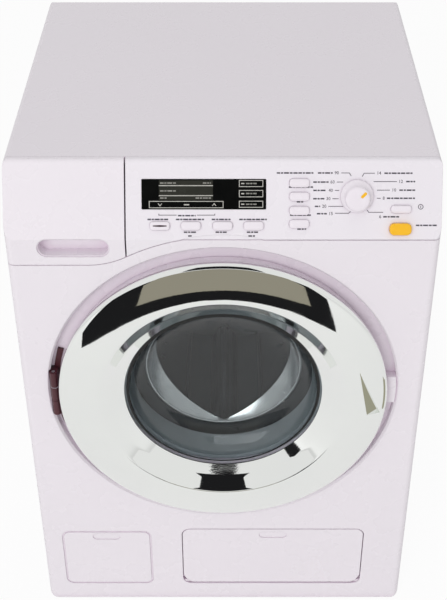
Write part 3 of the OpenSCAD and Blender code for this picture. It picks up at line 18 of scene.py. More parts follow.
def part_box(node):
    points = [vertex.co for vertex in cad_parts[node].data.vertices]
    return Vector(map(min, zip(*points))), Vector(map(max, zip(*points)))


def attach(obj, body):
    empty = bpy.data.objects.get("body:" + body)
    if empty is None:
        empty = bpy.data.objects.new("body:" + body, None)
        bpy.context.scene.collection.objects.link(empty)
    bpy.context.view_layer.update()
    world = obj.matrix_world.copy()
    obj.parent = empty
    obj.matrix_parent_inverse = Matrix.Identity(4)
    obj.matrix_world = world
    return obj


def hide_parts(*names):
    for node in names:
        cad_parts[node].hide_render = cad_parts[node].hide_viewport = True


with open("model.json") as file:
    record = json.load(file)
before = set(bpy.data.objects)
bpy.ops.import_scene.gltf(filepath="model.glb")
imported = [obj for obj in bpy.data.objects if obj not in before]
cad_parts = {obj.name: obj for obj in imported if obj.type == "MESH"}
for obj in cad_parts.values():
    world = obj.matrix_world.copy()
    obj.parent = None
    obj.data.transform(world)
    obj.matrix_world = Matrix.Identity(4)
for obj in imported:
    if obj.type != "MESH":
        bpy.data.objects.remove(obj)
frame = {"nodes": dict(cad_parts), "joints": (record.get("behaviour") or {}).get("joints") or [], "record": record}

MM = 0.001
LOG = logging.getLogger("toy_washing_machine")

Colour = tuple[float, float, float]
Point = tuple[float, float]
Point3 = tuple[float, float, float]
Socket = bpy.types.NodeSocket


class Body(str, Enum):
    """The bodies that the script's own pieces ride on."""

    CABINET = "cabinet"
    DOOR = "door"
    DRUM = "drum_unit"
    KNOB = "knob"
    START_KEY = "start_key"


def linear(value: int) -> float:
    """One channel of a colour as it is seen, in 0 to 255, as linear light."""
    v = value / 255
    return v / 12.92 if v <= 0.04045 else ((v + 0.055) / 1.055) ** 2.4


def srgb(red: int, green: int, blue: int) -> Colour:
    """A colour as it is seen, in 0 to 255 for each channel, as linear light."""
    return linear(red), linear(green), linear(blue)


# ---------------------------------------------------------------- shading


class Shade:
    """A material or a world under construction, with short calls for the nodes it needs."""

    CREASE_SAMPLES = 8
    EDGE_SAMPLES = 4

    def __init__(self, name: str, world: bool = False) -> None:
        """Starts with an output alone.

        Args:
            name: its name.
            world: makes a world instead of a material.
        """
        self.data = (bpy.data.worlds if world else bpy.data.materials).new(name)
        self.data.use_nodes = True
        self.tree = self.data.node_tree
        self.tree.nodes.clear()
        self.out = self.add("OutputWorld" if world else "OutputMaterial")
        self.place = self.add("TexCoord").outputs["Object"]

    def feed(self, node: bpy.types.Node, **feeds: object) -> bpy.types.Node:
        """Sets inputs of a node.

        Args:
            node: the node.
            feeds: a value or a socket for each input, with _ for a blank; None leaves it.

        Returns:
            The node.
        """
        for key, value in feeds.items():
            socket = node.inputs[key.replace("_", " ")]
            if isinstance(value, Socket):
                self.tree.links.new(value, socket)
            elif value is not None:
                socket.default_value = value
        return node

    def add(self, kind: str, **feeds: object) -> bpy.types.Node:
        """Adds a shader node of a kind and sets inputs of it."""
        return self.feed(self.tree.nodes.new("ShaderNode" + kind), **feeds)

    def stretched(self, scale: Sequence[float]) -> Socket:
        """Object coordinates stretched by a factor for each axis."""
        return self.add("Mapping", Scale=scale, Vector=self.place).outputs["Vector"]

    def noise(self, scale: float, detail: float = 2.0, where: Optional[Socket] = None) -> Socket:
        """A pattern with so many patches per metre and so many finer layers."""
        return self.add("TexNoise", Scale=scale, Detail=detail, Vector=where or self.place).outputs["Fac"]

    def span(self, value: Socket, low: float, high: float, start: float = 0.3, end: float = 0.7) -> Socket:
        """A pattern's value, mapped so that start becomes low and end becomes high."""
        ends = {"From_Min": start, "From_Max": end, "To_Min": low, "To_Max": high}
        return self.add("MapRange", Value=value, **ends).outputs["Result"]

    def blend(self, share: Socket, first: Colour | Socket, second: Colour | Socket) -> Socket:
        """Two tones mixed by a pattern.

        Args:
            share: how much of the second tone shows.
            first: tone at 0, a colour or a socket.
            second: tone at 1, a colour or a socket.

        Returns:
            The colour socket.
        """
        node = self.add("Mix")
        node.data_type = "RGBA"
        tones = [(*tone, 1) if isinstance(tone, tuple) else tone for tone in (first, second)]
        return self.feed(node, Factor=share, A=tones[0], B=tones[1]).outputs["Result"]

    def creases(self, reach: float) -> Socket:
        """How open a point is, the mask for painted shade: 1 on free faces, towards 0 in gaps and corners.

        Args:
            reach: distance at which a neighbouring surface counts.

        Returns:
            The value socket.
        """
        node = self.add("AmbientOcclusion", Distance=reach)
        node.samples = self.CREASE_SAMPLES
        return node.outputs["AO"]

    def soft_edges(self, radius: float) -> Socket:
        """Normals rounded over the edges of moulded pieces.

        Args:
            radius: the rounding's radius.

        Returns:
            The normal socket.
        """
        node = self.add("Bevel", Radius=radius)
        node.samples = self.EDGE_SAMPLES
        return node.outputs["Normal"]

    def relief(
        self, height: Socket, depth: float, strength: float = 1.0, base: Optional[Socket] = None
    ) -> Socket:
        """Normals with a pattern's relief, its depth in metres, over the mesh's or other normals."""
        node = self.add("Bump", Height=height, Distance=depth, Strength=strength, Normal=base)
        return node.outputs["Normal"]

    def surface(
        self, colour: Socket, roughness: Socket, normal: Optional[Socket] = None, **plain: float
    ) -> Socket:
        """The Principled surface, joined to the output.

        Args:
            colour: base colour socket.
            roughness: roughness socket.
            normal: normal socket, or None.
            plain: values for other inputs, with _ for a blank.

        Returns:
            The shader socket.
        """
        node = self.add("BsdfPrincipled", Base_Color=colour, Roughness=roughness, Normal=normal, **plain)
        self.feed(self.out, Surface=node.outputs["BSDF"])
        return node.outputs["BSDF"]

    def math(self, operation: str, first: Socket, second: Socket | float) -> Socket:
        """Two values taken together.

        Args:
            operation: MULTIPLY or MAXIMUM.
            first: a value socket.
            second: another one, or a number.

        Returns:
            The result's socket.
        """
        node = self.add("Math")
        node.operation = operation
        self.tree.links.new(first, node.inputs[0])
        if isinstance(second, Socket):
            self.tree.links.new(second, node.inputs[1])
        else:
            node.inputs[1].default_value = second
        return node.outputs["Value"]

    def either(self, share: Socket, first: Socket, second: Socket) -> None:
        """Shows one of two shaders.

        Args:
            share: 0 for the first, 1 for the second.
            first: a shader socket.
            second: another shader socket.
        """
        mix = self.add("MixShader")
        for source, target in zip((share, first, second), mix.inputs):
            self.tree.links.new(source, target)
        self.feed(self.out, Surface=mix.outputs["Shader"])


@dataclass(frozen=True)
class Finish:
    """Two tones in soft clouds, a roughness that wanders between two values, and a relief.

    CLOUDS and SHEEN give the patches per metre and the finer layers of the tones and the roughness.
    """

    name: str
    tone: Colour
    shade: Colour
    gloss: Point = (0.4, 0.55)

    CLOUDS = (900.0, 3.0)
    SHEEN = (500.0, 2.0)

    def colour(self, s: Shade) -> Socket:
        """The tones."""
        return s.blend(s.span(s.noise(*self.CLOUDS), 0.0, 1.0), self.tone, self.shade)

    def roughness(self, s: Shade) -> Socket:
        """The roughness."""
        return s.span(s.noise(*self.SHEEN), *self.gloss)

    def normal(self, s: Shade) -> Optional[Socket]:
        """The relief, or None for a smooth face."""
        return None

    def plain(self) -> dict[str, float]:
        """The surface's other values."""
        return {"IOR": 1.5}

    def cover(self, s: Shade, body: Socket) -> None:
        """Adds what lies over the surface: nothing on most finishes."""

    def material(self) -> bpy.types.Material:
        """Builds the finish.

        Returns:
            The material.
        """
        s = Shade(self.name)
        body = s.surface(self.colour(s), self.roughness(s), self.normal(s), **self.plain())
        self.cover(s, body)
        return s.data


@dataclass(frozen=True)
class MouldedPlastic(Finish):
    """Injection-moulded plastic, from a high gloss to a satin, with painted shade in its creases."""

    gloss: Point = (0.22, 0.34)
    # The reach and the crease colour below paint shade into creases, gaps and recesses.
    shade_reach: float = 9 * MM
    edge: float = 0.35 * MM
    skin_scale: float = 900.0
    skin_depth: float = 0.006 * MM
    crease_shade: Colour = field(kw_only=True)

    CLOUDS = (11.0, 3.0)
    SHEEN = (60.0, 4.0)

    def colour(self, s: Shade) -> Socket:
        """The tones, with painted shade: darker towards the crease colour in creases, gaps and recesses."""
        # painted shade: the occlusion mask mixes the crease colour into creases and gaps
        free = s.span(s.creases(self.shade_reach), 0.0, 1.0, 0.25, 0.95)
        return s.blend(free, self.crease_shade, super().colour(s))

    def normal(self, s: Shade) -> Socket:
        """A fine skin over softened edges."""
        return s.relief(s.noise(self.skin_scale, 1.0), self.skin_depth, 0.3, s.soft_edges(self.edge))


@dataclass(frozen=True)
class PlatedPlastic(Finish):
    """Bright plating over moulded plastic."""

    tone: Colour = (0.92, 0.935, 0.91)
    shade: Colour = (0.9, 0.915, 0.895)
    gloss: Point = (0.015, 0.05)
    wave_scale: float = 34.0
    wave_depth: float = 0.09 * MM

    CLOUDS = (26.0, 2.0)
    SHEEN = (120.0, 4.0)

    def plain(self) -> dict[str, float]:
        """The values of a metal."""
        return {"Metallic": 1.0}

    def normal(self, s: Shade) -> Socket:
        """The faint waves of the plating's skin, with a few pits."""
        waves = s.relief(s.noise(self.wave_scale), self.wave_depth)
        return s.relief(s.noise(1500.0, 1.0), 0.004 * MM, 0.4, waves)


@dataclass(frozen=True)
class SmokedClear(Finish):
    """Clear smoked plastic that lets light through to what is behind it."""

    tone: Colour = (0.7, 0.735, 0.74)
    shade: Colour = (0.67, 0.705, 0.71)
    gloss: Point = (0.0, 0.02)
    film: Colour = (0.9, 0.915, 0.92)

    CLOUDS = (20.0, 2.0)
    SHEEN = (80.0, 3.0)

    def plain(self) -> dict[str, float]:
        """The values of a clear plastic."""
        return {"IOR": 1.45, "Transmission_Weight": 1.0}

    def normal(self, s: Shade) -> Socket:
        """The long waves of a moulded clear piece."""
        return s.relief(s.noise(22.0, 1.0), 0.03 * MM)

    def cover(self, s: Shade, body: Socket) -> None:
        """Opens the surface to light from lamps, tinted by a film."""
        clear = s.add("BsdfTransparent", Color=(*self.film, 1)).outputs["BSDF"]
        s.either(s.add("LightPath").outputs["Is Shadow Ray"], body, clear)


@dataclass(frozen=True)
class SoftRubber(Finish):
    """Matt rubber with a powdery bloom."""

    gloss: Point = (0.55, 0.75)

    CLOUDS = (45.0, 4.0)
    SHEEN = (200.0, 2.0)

    def normal(self, s: Shade) -> Socket:
        """A fine grain."""
        return s.relief(s.noise(2200.0), 0.02 * MM, 0.5)


@dataclass(frozen=True)
class DrawnSteel(Finish):
    """Bare or plated metal with fine lines along one axis."""

    tone: Colour = (0.62, 0.62, 0.63)
    shade: Colour = (0.5, 0.5, 0.52)
    gloss: Point = (0.24, 0.4)
    lines: Point3 = (400.0, 12.0, 400.0)

    def plain(self) -> dict[str, float]:
        """The values of a metal."""
        return {"Metallic": 1.0}

    def grain(self, s: Shade) -> Socket:
        """The drawn lines that tone, roughness and relief follow."""
        return s.noise(2.0, 3.0, s.stretched(self.lines))

    def colour(self, s: Shade) -> Socket:
        """The tones, drawn out along the lines."""
        return s.blend(s.span(self.grain(s), 0.0, 1.0), self.tone, self.shade)

    def roughness(self, s: Shade) -> Socket:
        """The roughness, drawn out along the lines."""
        return s.span(self.grain(s), *self.gloss)

    def normal(self, s: Shade) -> Socket:
        """The lines' relief."""
        return s.relief(self.grain(s), 0.01 * MM, 0.4)


@dataclass(frozen=True)
class GlossFilm(Finish):
    """Printed film under a clear face that mirrors little, as on the display."""

    gloss: Point = (0.2, 0.28)
    density: float = 1.16

    CLOUDS = (120.0, 3.0)
    SHEEN = (300.0, 2.0)

    def plain(self) -> dict[str, float]:
        """The clear face's density."""
        return {"IOR": self.density}

    def normal(self, s: Shade) -> Socket:
        """The film's slight waves."""
        return s.relief(s.noise(60.0), 0.01 * MM)


@dataclass(frozen=True)
class PrintedInk(Finish):
    """Pad-printed ink, dense with thinner spots."""


@dataclass(frozen=True)
class CircuitBoardFinish(Finish):
    """Solder mask over copper tracks."""

    tone: Colour = (0.02, 0.13, 0.05)
    shade: Colour = (0.04, 0.2, 0.08)
    gloss: Point = (0.25, 0.4)

    SHEEN = (200.0, 2.0)

    def tracks(self, s: Shade) -> Socket:
        """Where the tracks run."""
        return s.add("TexBrick", Scale=160.0, Mortar_Size=0.08, Vector=s.place).outputs["Fac"]

    def colour(self, s: Shade) -> Socket:
        """The tracks that show through the mask."""
        return s.blend(s.span(self.tracks(s), 0.0, 1.0, 0.0, 1.0), self.tone, self.shade)

    def normal(self, s: Shade) -> Socket:
        """The tracks' relief."""
        return s.relief(self.tracks(s), 0.03 * MM, 0.5)


# The crease colour of each moulded plastic is painted shade, mixed into creases, gaps and recesses by occlusion.
SHELL = MouldedPlastic(
    "shell_plastic", srgb(241, 235, 241), srgb(240, 234, 240), shade_reach=6 * MM, crease_shade=srgb(228, 213, 226)
)
PANEL = MouldedPlastic(
    "panel_plastic", srgb(241, 236, 242), srgb(240, 235, 241), shade_reach=3 * MM, crease_shade=srgb(226, 216, 226)
)
BUTTON = MouldedPlastic(
    "button_plastic", srgb(243, 236, 243), srgb(241, 234, 241), (0.2, 0.3), 1.2 * MM, 0.1 * MM,
    crease_shade=srgb(226, 216, 226),
)
YELLOW = MouldedPlastic(
    "yellow_plastic", srgb(255, 197, 38), srgb(254, 191, 30), (0.22, 0.32), 2 * MM, 0.1 * MM,
    crease_shade=srgb(238, 160, 16),
)
TUB = MouldedPlastic(
    "tub_plastic", srgb(140, 147, 152), srgb(132, 139, 144), (0.35, 0.5), crease_shade=srgb(84, 89, 93)
)
DRUM = MouldedPlastic(
    "drum_plastic", srgb(74, 77, 81), srgb(66, 69, 73), (0.25, 0.4), 14 * MM, 0.3 * MM,
    crease_shade=srgb(34, 36, 39),
)
HINGE = MouldedPlastic(
    "hinge_plastic", srgb(84, 34, 44), srgb(74, 30, 39), (0.35, 0.5), 3 * MM, 0.2 * MM,
    crease_shade=srgb(40, 14, 20),
)
GEAR = MouldedPlastic(
    "gear_plastic", srgb(236, 230, 208), srgb(226, 218, 194), (0.35, 0.5), 3 * MM, 0.2 * MM,
    crease_shade=srgb(170, 160, 134),
)
CHROME = PlatedPlastic("chrome_plate")
LIP = PlatedPlastic("lip_plate", (0.72, 0.73, 0.74), (0.62, 0.63, 0.64), (0.16, 0.28))
SMOKED = SmokedClear("smoked_clear")
SEAL = SoftRubber("seal_rubber", srgb(140, 147, 152), srgb(150, 157, 161), (0.4, 0.6))
KEYPAD = SoftRubber("keypad_rubber", srgb(150, 150, 154), srgb(162, 162, 166))
FOOT = SoftRubber("dark_rubber", srgb(52, 52, 55), srgb(66, 66, 69))
STEEL = DrawnSteel("steel")
CONTACT = DrawnSteel(
    "contact_metal", (0.7, 0.69, 0.64), (0.58, 0.57, 0.53), (0.2, 0.35), (400.0, 400.0, 12.0)
)
JACKET = GlossFilm("cell_jacket", srgb(38, 66, 120), srgb(30, 52, 98), (0.25, 0.35), 1.5)
DISPLAY = GlossFilm("display_film", srgb(12, 13, 12), srgb(9, 10, 10))
SCREEN = GlossFilm("screen_film", srgb(52, 52, 46), srgb(44, 45, 40), density=1.2)
BOARD = CircuitBoardFinish("circuit_board")
INK = PrintedInk("dark_ink", srgb(58, 54, 64), srgb(84, 79, 90))
LIGHT_INK = PrintedInk("light_ink", srgb(205, 203, 196), srgb(180, 178, 172))
DIM_INK = PrintedInk("dim_ink", srgb(150, 149, 142), srgb(126, 125, 119))
DASH_INK = PrintedInk("dash_ink", srgb(48, 26, 34), srgb(62, 38, 46))


# ---------------------------------------------------------------- forms


@dataclass
class Place:
    """A flat frame on the machine: x to the right, y up along the face, z out of it."""

    origin: Vector
    up: Vector
    out: Vector

    def matrix(self) -> Matrix:
        """The matrix from the flat frame to the row frame."""
        columns = (self.up.cross(self.out), self.up, self.out, self.origin)
        return Matrix([[column[i] for column in columns] for i in range(3)] + [[0, 0, 0, 1]])

    def moved(self, x: float, y: float) -> "Place":
        """The same frame with its origin elsewhere on the face."""
        return Place(self.matrix() @ Vector((x, y, 0)), self.up, self.out)


def turns(steps: int) -> list[float]:
    """Directions all round, in radians."""
    return [2 * math.pi * i / steps for i in range(steps)]


def circle(radius: float, steps: int, at: Sequence[float] = (0.0, 0.0)) -> list[Point]:
    """Points round a circle about a place."""
    return [(at[0] + radius * math.cos(a), at[1] + radius * math.sin(a)) for a in turns(steps)]


def shifted(outline: Sequence[Point], at: Sequence[float]) -> list[Point]:
    """An outline about another place."""
    return [(x + at[0], y + at[1]) for x, y in outline]


def raised(outline: Sequence[Point], height: float) -> list[Vector]:
    """A flat outline at a height."""
    return [Vector((x, y, height)) for x, y in outline]


def spoke(section: Sequence[Point], angle: float) -> list[Vector]:
    """A section of radius and height, turned to a direction."""
    return [Vector((r * math.cos(angle), r * math.sin(angle), z)) for r, z in section]


def bar(a: Sequence[float], b: Sequence[float], low: float, high: float) -> list[Vector]:
    """The upright rectangle between two points of a face."""
    return [Vector((p[0], p[1], z)) for p, z in ((a, low), (a, high), (b, high), (b, low))]


def round_outline(width: float, height: float, radius: float, steps: int = 5) -> list[Point]:
    """Outline of a rectangle with round corners.

    Args:
        width: whole width.
        height: whole height.
        radius: the corners' radius.
        steps: points on each corner.

    Returns:
        Points, counter-clockwise.
    """
    x, y = width / 2 - radius, height / 2 - radius
    points = []
    for cx, cy, start in ((x, -y, -90), (x, y, 0), (-x, y, 90), (-x, -y, 180)):
        for i in range(steps + 1):
            a = math.radians(start + 90 * i / steps)
            points.append((cx + radius * math.cos(a), cy + radius * math.sin(a)))
    return points


def softened(points: Sequence[Point], radius: float, steps: int = 5) -> list[Point]:
    """An open line with its inner corners rounded.

    Args:
        points: the line's corners.
        radius: rounding at each inner corner, held back on short sides.
        steps: points on each rounding.

    Returns:
        The denser line.
    """
    longest = 0.45
    made = [Vector(points[0])]
    for a, b, c in zip(points, points[1:], points[2:]):
        a, b, c = Vector(a), Vector(b), Vector(c)
        reach = min(radius, (a - b).length * longest, (c - b).length * longest)
        start, end = b + (a - b).normalized() * reach, b + (c - b).normalized() * reach
        for i in range(steps + 1):
            t = i / steps
            made.append(start * (1 - t) ** 2 + b * 2 * t * (1 - t) + end * t**2)
    made.append(Vector(points[-1]))
    return [(p.x, p.y) for p in made]


def placed(name: str, data: bpy.types.ID) -> bpy.types.Object:
    """Adds an object to the scene.

    Args:
        name: its name.
        data: its mesh, curve, lamp or camera.

    Returns:
        The object.
    """
    made = bpy.data.objects.new(name, data)
    bpy.context.collection.objects.link(made)
    return made


class Form:
    """Points and faces gathered before they become a mesh."""

    def __init__(self) -> None:
        """Starts empty."""
        self.points: list[Vector] = []
        self.faces: list[tuple[int, ...]] = []

    def loft(self, rings: Sequence[Sequence[Vector]], caps: bool = True, endless: bool = False) -> "Form":
        """Skins a stack of closed rings with equal numbers of points.

        Args:
            rings: the rings in order.
            caps: closes the first and last ring.
            endless: joins the last ring to the first, as in a turned form.

        Returns:
            The form itself.
        """
        start, n = len(self.points), len(rings[0])
        for ring in rings:
            self.points.extend(Vector(p) for p in ring)
        count = len(rings)
        for k in range(count if endless else count - 1):
            a, b = start + k * n, start + (k + 1) % count * n
            for i in range(n):
                j = (i + 1) % n
                self.faces.append((a + i, a + j, b + j, b + i))
        if caps and not endless:
            self.faces.append(tuple(start + i for i in reversed(range(n))))
            self.faces.append(tuple(start + (count - 1) * n + i for i in range(n)))
        return self

    def prism(self, outline: Sequence[Point], low: float, high: float) -> "Form":
        """Adds a plate with a counter-clockwise outline between two heights."""
        return self.loft([raised(outline, low), raised(outline, high)])

    def turned(self, section: Sequence[Point], steps: int) -> "Form":
        """Adds a closed section of radius and height, turned about the z axis in steps."""
        return self.loft([spoke(section, a) for a in turns(steps)], endless=True)

    def band(self, outer: Sequence[Point], inner: Sequence[Point], low: float, high: float) -> "Form":
        """Adds a flat ring between two outlines with equal numbers of points."""
        return self.loft([bar(a, b, low, high) for a, b in zip(outer, inner)], endless=True)

    def stroke(
        self, line: Sequence[Point], width: float, low: float, high: float, closed: bool = False
    ) -> None:
        """A printed line: a thin plate along a path, with mitred corners.

        Args:
            line: the path's points.
            width: the line's width.
            low: height of its back.
            high: height of its front.
            closed: joins the end to the start.
        """
        sharpest = 0.5
        path = [Vector(p) for p in line]
        n = len(path)
        rings = []
        for i, p in enumerate(path):
            ways = []
            if i or closed:
                ways.append((p - path[i - 1]).normalized())
            if i < n - 1 or closed:
                ways.append((path[(i + 1) % n] - p).normalized())
            way = sum(ways, Vector((0.0, 0.0))).normalized()
            side = Vector((-way.y, way.x)) * width / 2 / max(sharpest, way.dot(ways[0]))
            rings.append(bar(p + side, p - side, low, high))
        self.loft(rings, caps=not closed, endless=closed)

    def numerals(self, text: str, height: float, at: Point, align: str) -> None:
        """Plain numerals as thin plates.

        Args:
            text: digits and plain signs.
            height: height of a digit.
            at: place of one end, half way up.
            align: LEFT or RIGHT, which end that is.
        """
        size_of_digit, weight = 1.38, 0.012
        curve = bpy.data.curves.new("numerals", "FONT")
        curve.body, curve.align_x, curve.align_y = text, align, "CENTER"
        curve.size, curve.offset = height * size_of_digit, height * weight
        curve.extrude, curve.resolution_u = 0.01 * MM, 2
        holder = placed("numerals", curve)
        bpy.context.view_layer.update()
        graph = bpy.context.evaluated_depsgraph_get()
        mesh = bpy.data.meshes.new_from_object(holder.evaluated_get(graph))
        start = len(self.points)
        shift = Vector((at[0], at[1], curve.extrude))
        self.points.extend(v.co + shift for v in mesh.vertices)
        self.faces.extend(tuple(start + i for i in p.vertices) for p in mesh.polygons)
        bpy.data.objects.remove(holder)
        bpy.data.curves.remove(curve)
        bpy.data.meshes.remove(mesh)

    def mesh(self, name: str, place: Place) -> bpy.types.Mesh:
        """The form as a mesh.

        Args:
            name: the mesh's name.
            place: the flat frame its points are in.

        Returns:
            The mesh.
        """
        matrix = place.matrix()
        mesh = bpy.data.meshes.new(name)
        mesh.from_pydata([matrix @ p for p in self.points], [], self.faces)
        return mesh

    def piece(
        self,
        name: str,
        place: Place,
        finish: bpy.types.Material,
        body: str,
        slot: str,
        replaces: Sequence[str] = (),
        sharp: float = 32.0,
    ) -> bpy.types.Object:
        """Makes the mesh object, in place and riding on its body.

        Args:
            name: the piece's name.
            place: the flat frame its points are in.
            finish: its material.
            body: the CAD body it rides on.
            slot: the record's material slot; not used.
            replaces: CAD nodes it stands for.
            sharp: angle in degrees above which an edge stays crisp.

        Returns:
            The object.
        """
        mesh = self.mesh(name, place)
        mesh.validate()
        shell = bmesh.new()
        shell.from_mesh(mesh)
        bmesh.ops.recalc_face_normals(shell, faces=shell.faces)
        shell.to_mesh(mesh)
        shell.free()
        mesh.materials.append(finish)
        mesh.shade_smooth()
        mesh.set_sharp_from_angle(angle=math.radians(sharp))
        made = placed(name, mesh)
        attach(made, body)
        if replaces:
            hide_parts(*replaces)
        LOG.info("piece %s with %d faces", name, len(mesh.polygons))
        return made


def carve(target: bpy.types.Object, cutter: Form, place: Place, sharp: float) -> None:
    """Cuts a form out of a piece.

    Args:
        target: the piece.
        cutter: the form that is taken away.
        place: the flat frame of the cutter's points.
        sharp: angle in degrees above which an edge stays crisp.
    """
    tool = placed("cutter", cutter.mesh("cutter", place))
    cut = target.modifiers.new("cut", "BOOLEAN")
    cut.operation = "DIFFERENCE"
    cut.object = tool
    bpy.context.view_layer.update()
    made = bpy.data.meshes.new_from_object(target.evaluated_get(bpy.context.evaluated_depsgraph_get()))
    target.modifiers.clear()
    target.data = made
    made.name = target.name
    made.shade_smooth()
    made.set_sharp_from_angle(angle=math.radians(sharp))
    tool_mesh = tool.data
    bpy.data.objects.remove(tool)
    bpy.data.meshes.remove(tool_mesh)


# ---------------------------------------------------------------- the machine


@dataclass
class Machine:
    """What the frame says about the machine, and the finishes built so far."""

    finishes: dict[str, bpy.types.Material] = field(default_factory=dict)

    def finish(self, look: Finish) -> bpy.types.Material:
        """The material of a finish, built once.

        Args:
            look: the finish.

        Returns:
            The material.
        """
        if look.name not in self.finishes:
            self.finishes[look.name] = look.material()
        return self.finishes[look.name]

    def dress(self, look: Finish, *nodes: str) -> None:
        """Gives CAD nodes a finish.

        Args:
            look: the finish.
            nodes: names of the nodes.
        """
        for name in nodes:
            frame["nodes"][name].material_slots[0].material = self.finish(look)
            LOG.info("node %s takes %s", name, look.name)

    @staticmethod
    def joint(name: str) -> dict:
        """The record's joint of that name."""
        return next(j for j in frame["joints"] if j["name"] == name)

    @staticmethod
    def body_of(node: str) -> str:
        """Name of the body that carries a node."""
        bodies = frame["record"]["behaviour"]["bodies"]
        return next(name for name, nodes in bodies.items() if node in nodes)

    @staticmethod
    def spread(node: str, place: Place, above: float = -1.0) -> tuple[Vector, Vector]:
        """Extent of a CAD node in a flat frame.

        Args:
            node: the node's name.
            place: the flat frame.
            above: points that lie lower are left out.

        Returns:
            The lowest and the highest corner.
        """
        inverse = place.matrix().inverted()
        points = [inverse @ vertex.co for vertex in frame["nodes"][node].data.vertices]
        points = [p for p in points if p.z > above]
        return tuple(Vector([pick(p[i] for p in points) for i in range(3)]) for pick in (min, max))

    @property
    def front_y(self) -> float:
        """Y of the front panel's face."""
        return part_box("front_panel")[0].y

    def front_place(self) -> Place:
        """The front face, with its origin on the table."""
        return Place(Vector((0, self.front_y, 0)), Vector((0, 0, 1)), Vector((0, -1, 0)))

    def door_place(self) -> Place:
        """The door's axis, with its origin in the plane of the front face."""
        return self.front_place().moved(0, self.joint("drum_spin")["pos_m"][2])

    def slope_place(self) -> Place:
        """The sloping panel, with its origin where the front leans back.

        Returns:
            The flat frame.
        """
        knob = self.joint("knob_turn")
        out = Vector(knob["axis"]).normalized()
        up = out.cross(Vector((1, 0, 0))).normalized()
        pivot = Vector(knob["pos_m"])
        rise = (pivot.y - self.front_y) / up.y
        foot = pivot - up * rise
        return Place(Vector((0, foot.y, foot.z)), up, out)


@dataclass
class Housing:
    """The cabinet's panels, feet, screws and battery compartment, and the plate above the door."""

    machine: Machine
    arch_half: float = 21 * MM
    arch_rise: float = 2.8 * MM
    arch_foot: float = 0.3 * MM
    arch_levels: Point = (-1.2 * MM, -0.02 * MM)
    arch_steps: int = 24

    def arch(self) -> Form:
        """The flush plate in the arch-shaped notch at the fascia's lower edge.

        Returns:
            The form.
        """
        half, steps = self.arch_half, self.arch_steps
        outline = [
            (half - 2 * half * i / steps, self.arch_foot + self.arch_rise * (1 - (1 - 2 * i / steps) ** 2))
            for i in range(steps + 1)
        ]
        return Form().prism(outline, *self.arch_levels)

    def build(self) -> None:
        """Dresses the housing's nodes and adds the plate."""
        m = self.machine
        m.dress(
            SHELL, "front_panel", "left_side_panel", "right_side_panel", "top_cover",
            "rear_cover", "base_plate", "battery_box", "battery_cover", "door_catch", "flap_pocket",
            "drawer_housing", "motor_bracket", "service_flap", "latch_bar",
        )
        m.dress(PANEL, "control_fascia")
        m.dress(FOOT, "rubber_feet")
        self.arch().piece("fascia_arch", m.slope_place(), m.finish(PANEL), Body.CABINET, "panel_plastic")
        m.dress(STEEL, "housing_screws", "battery_screw")
        m.dress(JACKET, "battery_cells")
        m.dress(CONTACT, "battery_contacts")
        m.dress(HINGE, "hinge_bracket")
        m.dress(STEEL, "hinge_pin")


@dataclass
class WashUnit:
    """Tub, seal, drum and drive behind the door."""

    machine: Machine
    corner_radius: float = 36.7 * MM
    side_radius: float = 30.0 * MM
    dish_depth: float = 4.2 * MM
    dish_least: float = 0.15 * MM
    lip_wall: float = 1.2 * MM
    rim: float = 2.2 * MM
    bead: float = 1.0 * MM
    proud: float = 0.02 * MM
    plate_radius: float = 59.8 * MM
    plate_wall: float = 2.0 * MM
    chamfer: float = 0.4 * MM
    clearance: float = 0.1 * MM
    sectors: int = 240

    def opening(self, angle: float) -> float:
        """Radius of the three-sided opening, with one corner at the bottom.

        Args:
            angle: direction in radians, from the right.

        Returns:
            The radius.
        """
        corner, side = self.corner_radius, self.side_radius
        offset = (corner**2 - side**2) / (2 * side - corner)
        reach = corner
        for centre in (-90, 30, 150):
            along = offset * math.cos(angle - math.radians(centre))
            reach = min(reach, along + math.sqrt((side + offset) ** 2 - offset**2 + along**2))
        return reach

    def lip(self, front: float) -> Form:
        """The bright dish, its wall cut off by the opening.

        Args:
            front: height of the drum's front in the door's frame.

        Returns:
            The form.
        """
        outer, wall, bead = self.corner_radius, self.lip_wall, self.bead
        rim = outer + self.rim
        fall = self.dish_depth / (outer - self.side_radius)
        rings = []
        for k in range(self.sectors):
            angle = 2 * math.pi * (k + 0.5) / self.sectors
            inner = min(self.opening(angle), outer - self.dish_least)
            low = front - fall * (outer - inner)
            section = [
                (outer + wall, front - self.plate_wall), (outer + wall, front + self.proud),
                (rim, front + self.proud), (rim - self.chamfer, front + 0.6 * bead),
                (outer + 0.6 * wall, front + bead), (outer + 0.2 * wall, front + 0.8 * bead),
                (outer, front + 0.2 * bead), (inner, low), (inner - 0.1 * MM, low - 0.5 * wall),
                (inner + 0.3 * MM, low - wall),
            ]
            rings.append(spoke(section, angle))
        return Form().loft(rings, endless=True)

    def plate(self, front: float) -> Form:
        """The drum's round front plate about the lip.

        Args:
            front: height of its face in the door's frame.

        Returns:
            The form.
        """
        hole = self.corner_radius + self.lip_wall + self.clearance
        back, edge = front - self.plate_wall, self.plate_radius
        section = [
            (hole, back), (edge, back), (edge, front - self.chamfer), (edge - self.chamfer, front),
            (hole, front),
        ]
        return Form().turned(section, self.sectors)

    def build(self) -> None:
        """Makes the drum's lip and front plate, and dresses the rest."""
        m = self.machine
        place = m.door_place()
        front = m.spread("drum_face", place)[1].z
        self.lip(front).piece(
            "drum_lip_dish", place, m.finish(LIP), Body.DRUM, "lip_plate", ["drum_lip"], 40.0
        )
        self.plate(front).piece(
            "drum_front_plate", place, m.finish(DRUM), Body.DRUM, "drum_plastic", ["drum_face"]
        )
        m.dress(TUB, "tub")
        m.dress(STEEL, "tub_screws", "motor_screws", "drum_shaft", "motor", "motor_pinion")
        m.dress(SEAL, "door_seal")
        m.dress(GEAR, "drum_bearing", "drum_gear")
        m.dress(DRUM, "drum", "drum_paddles")


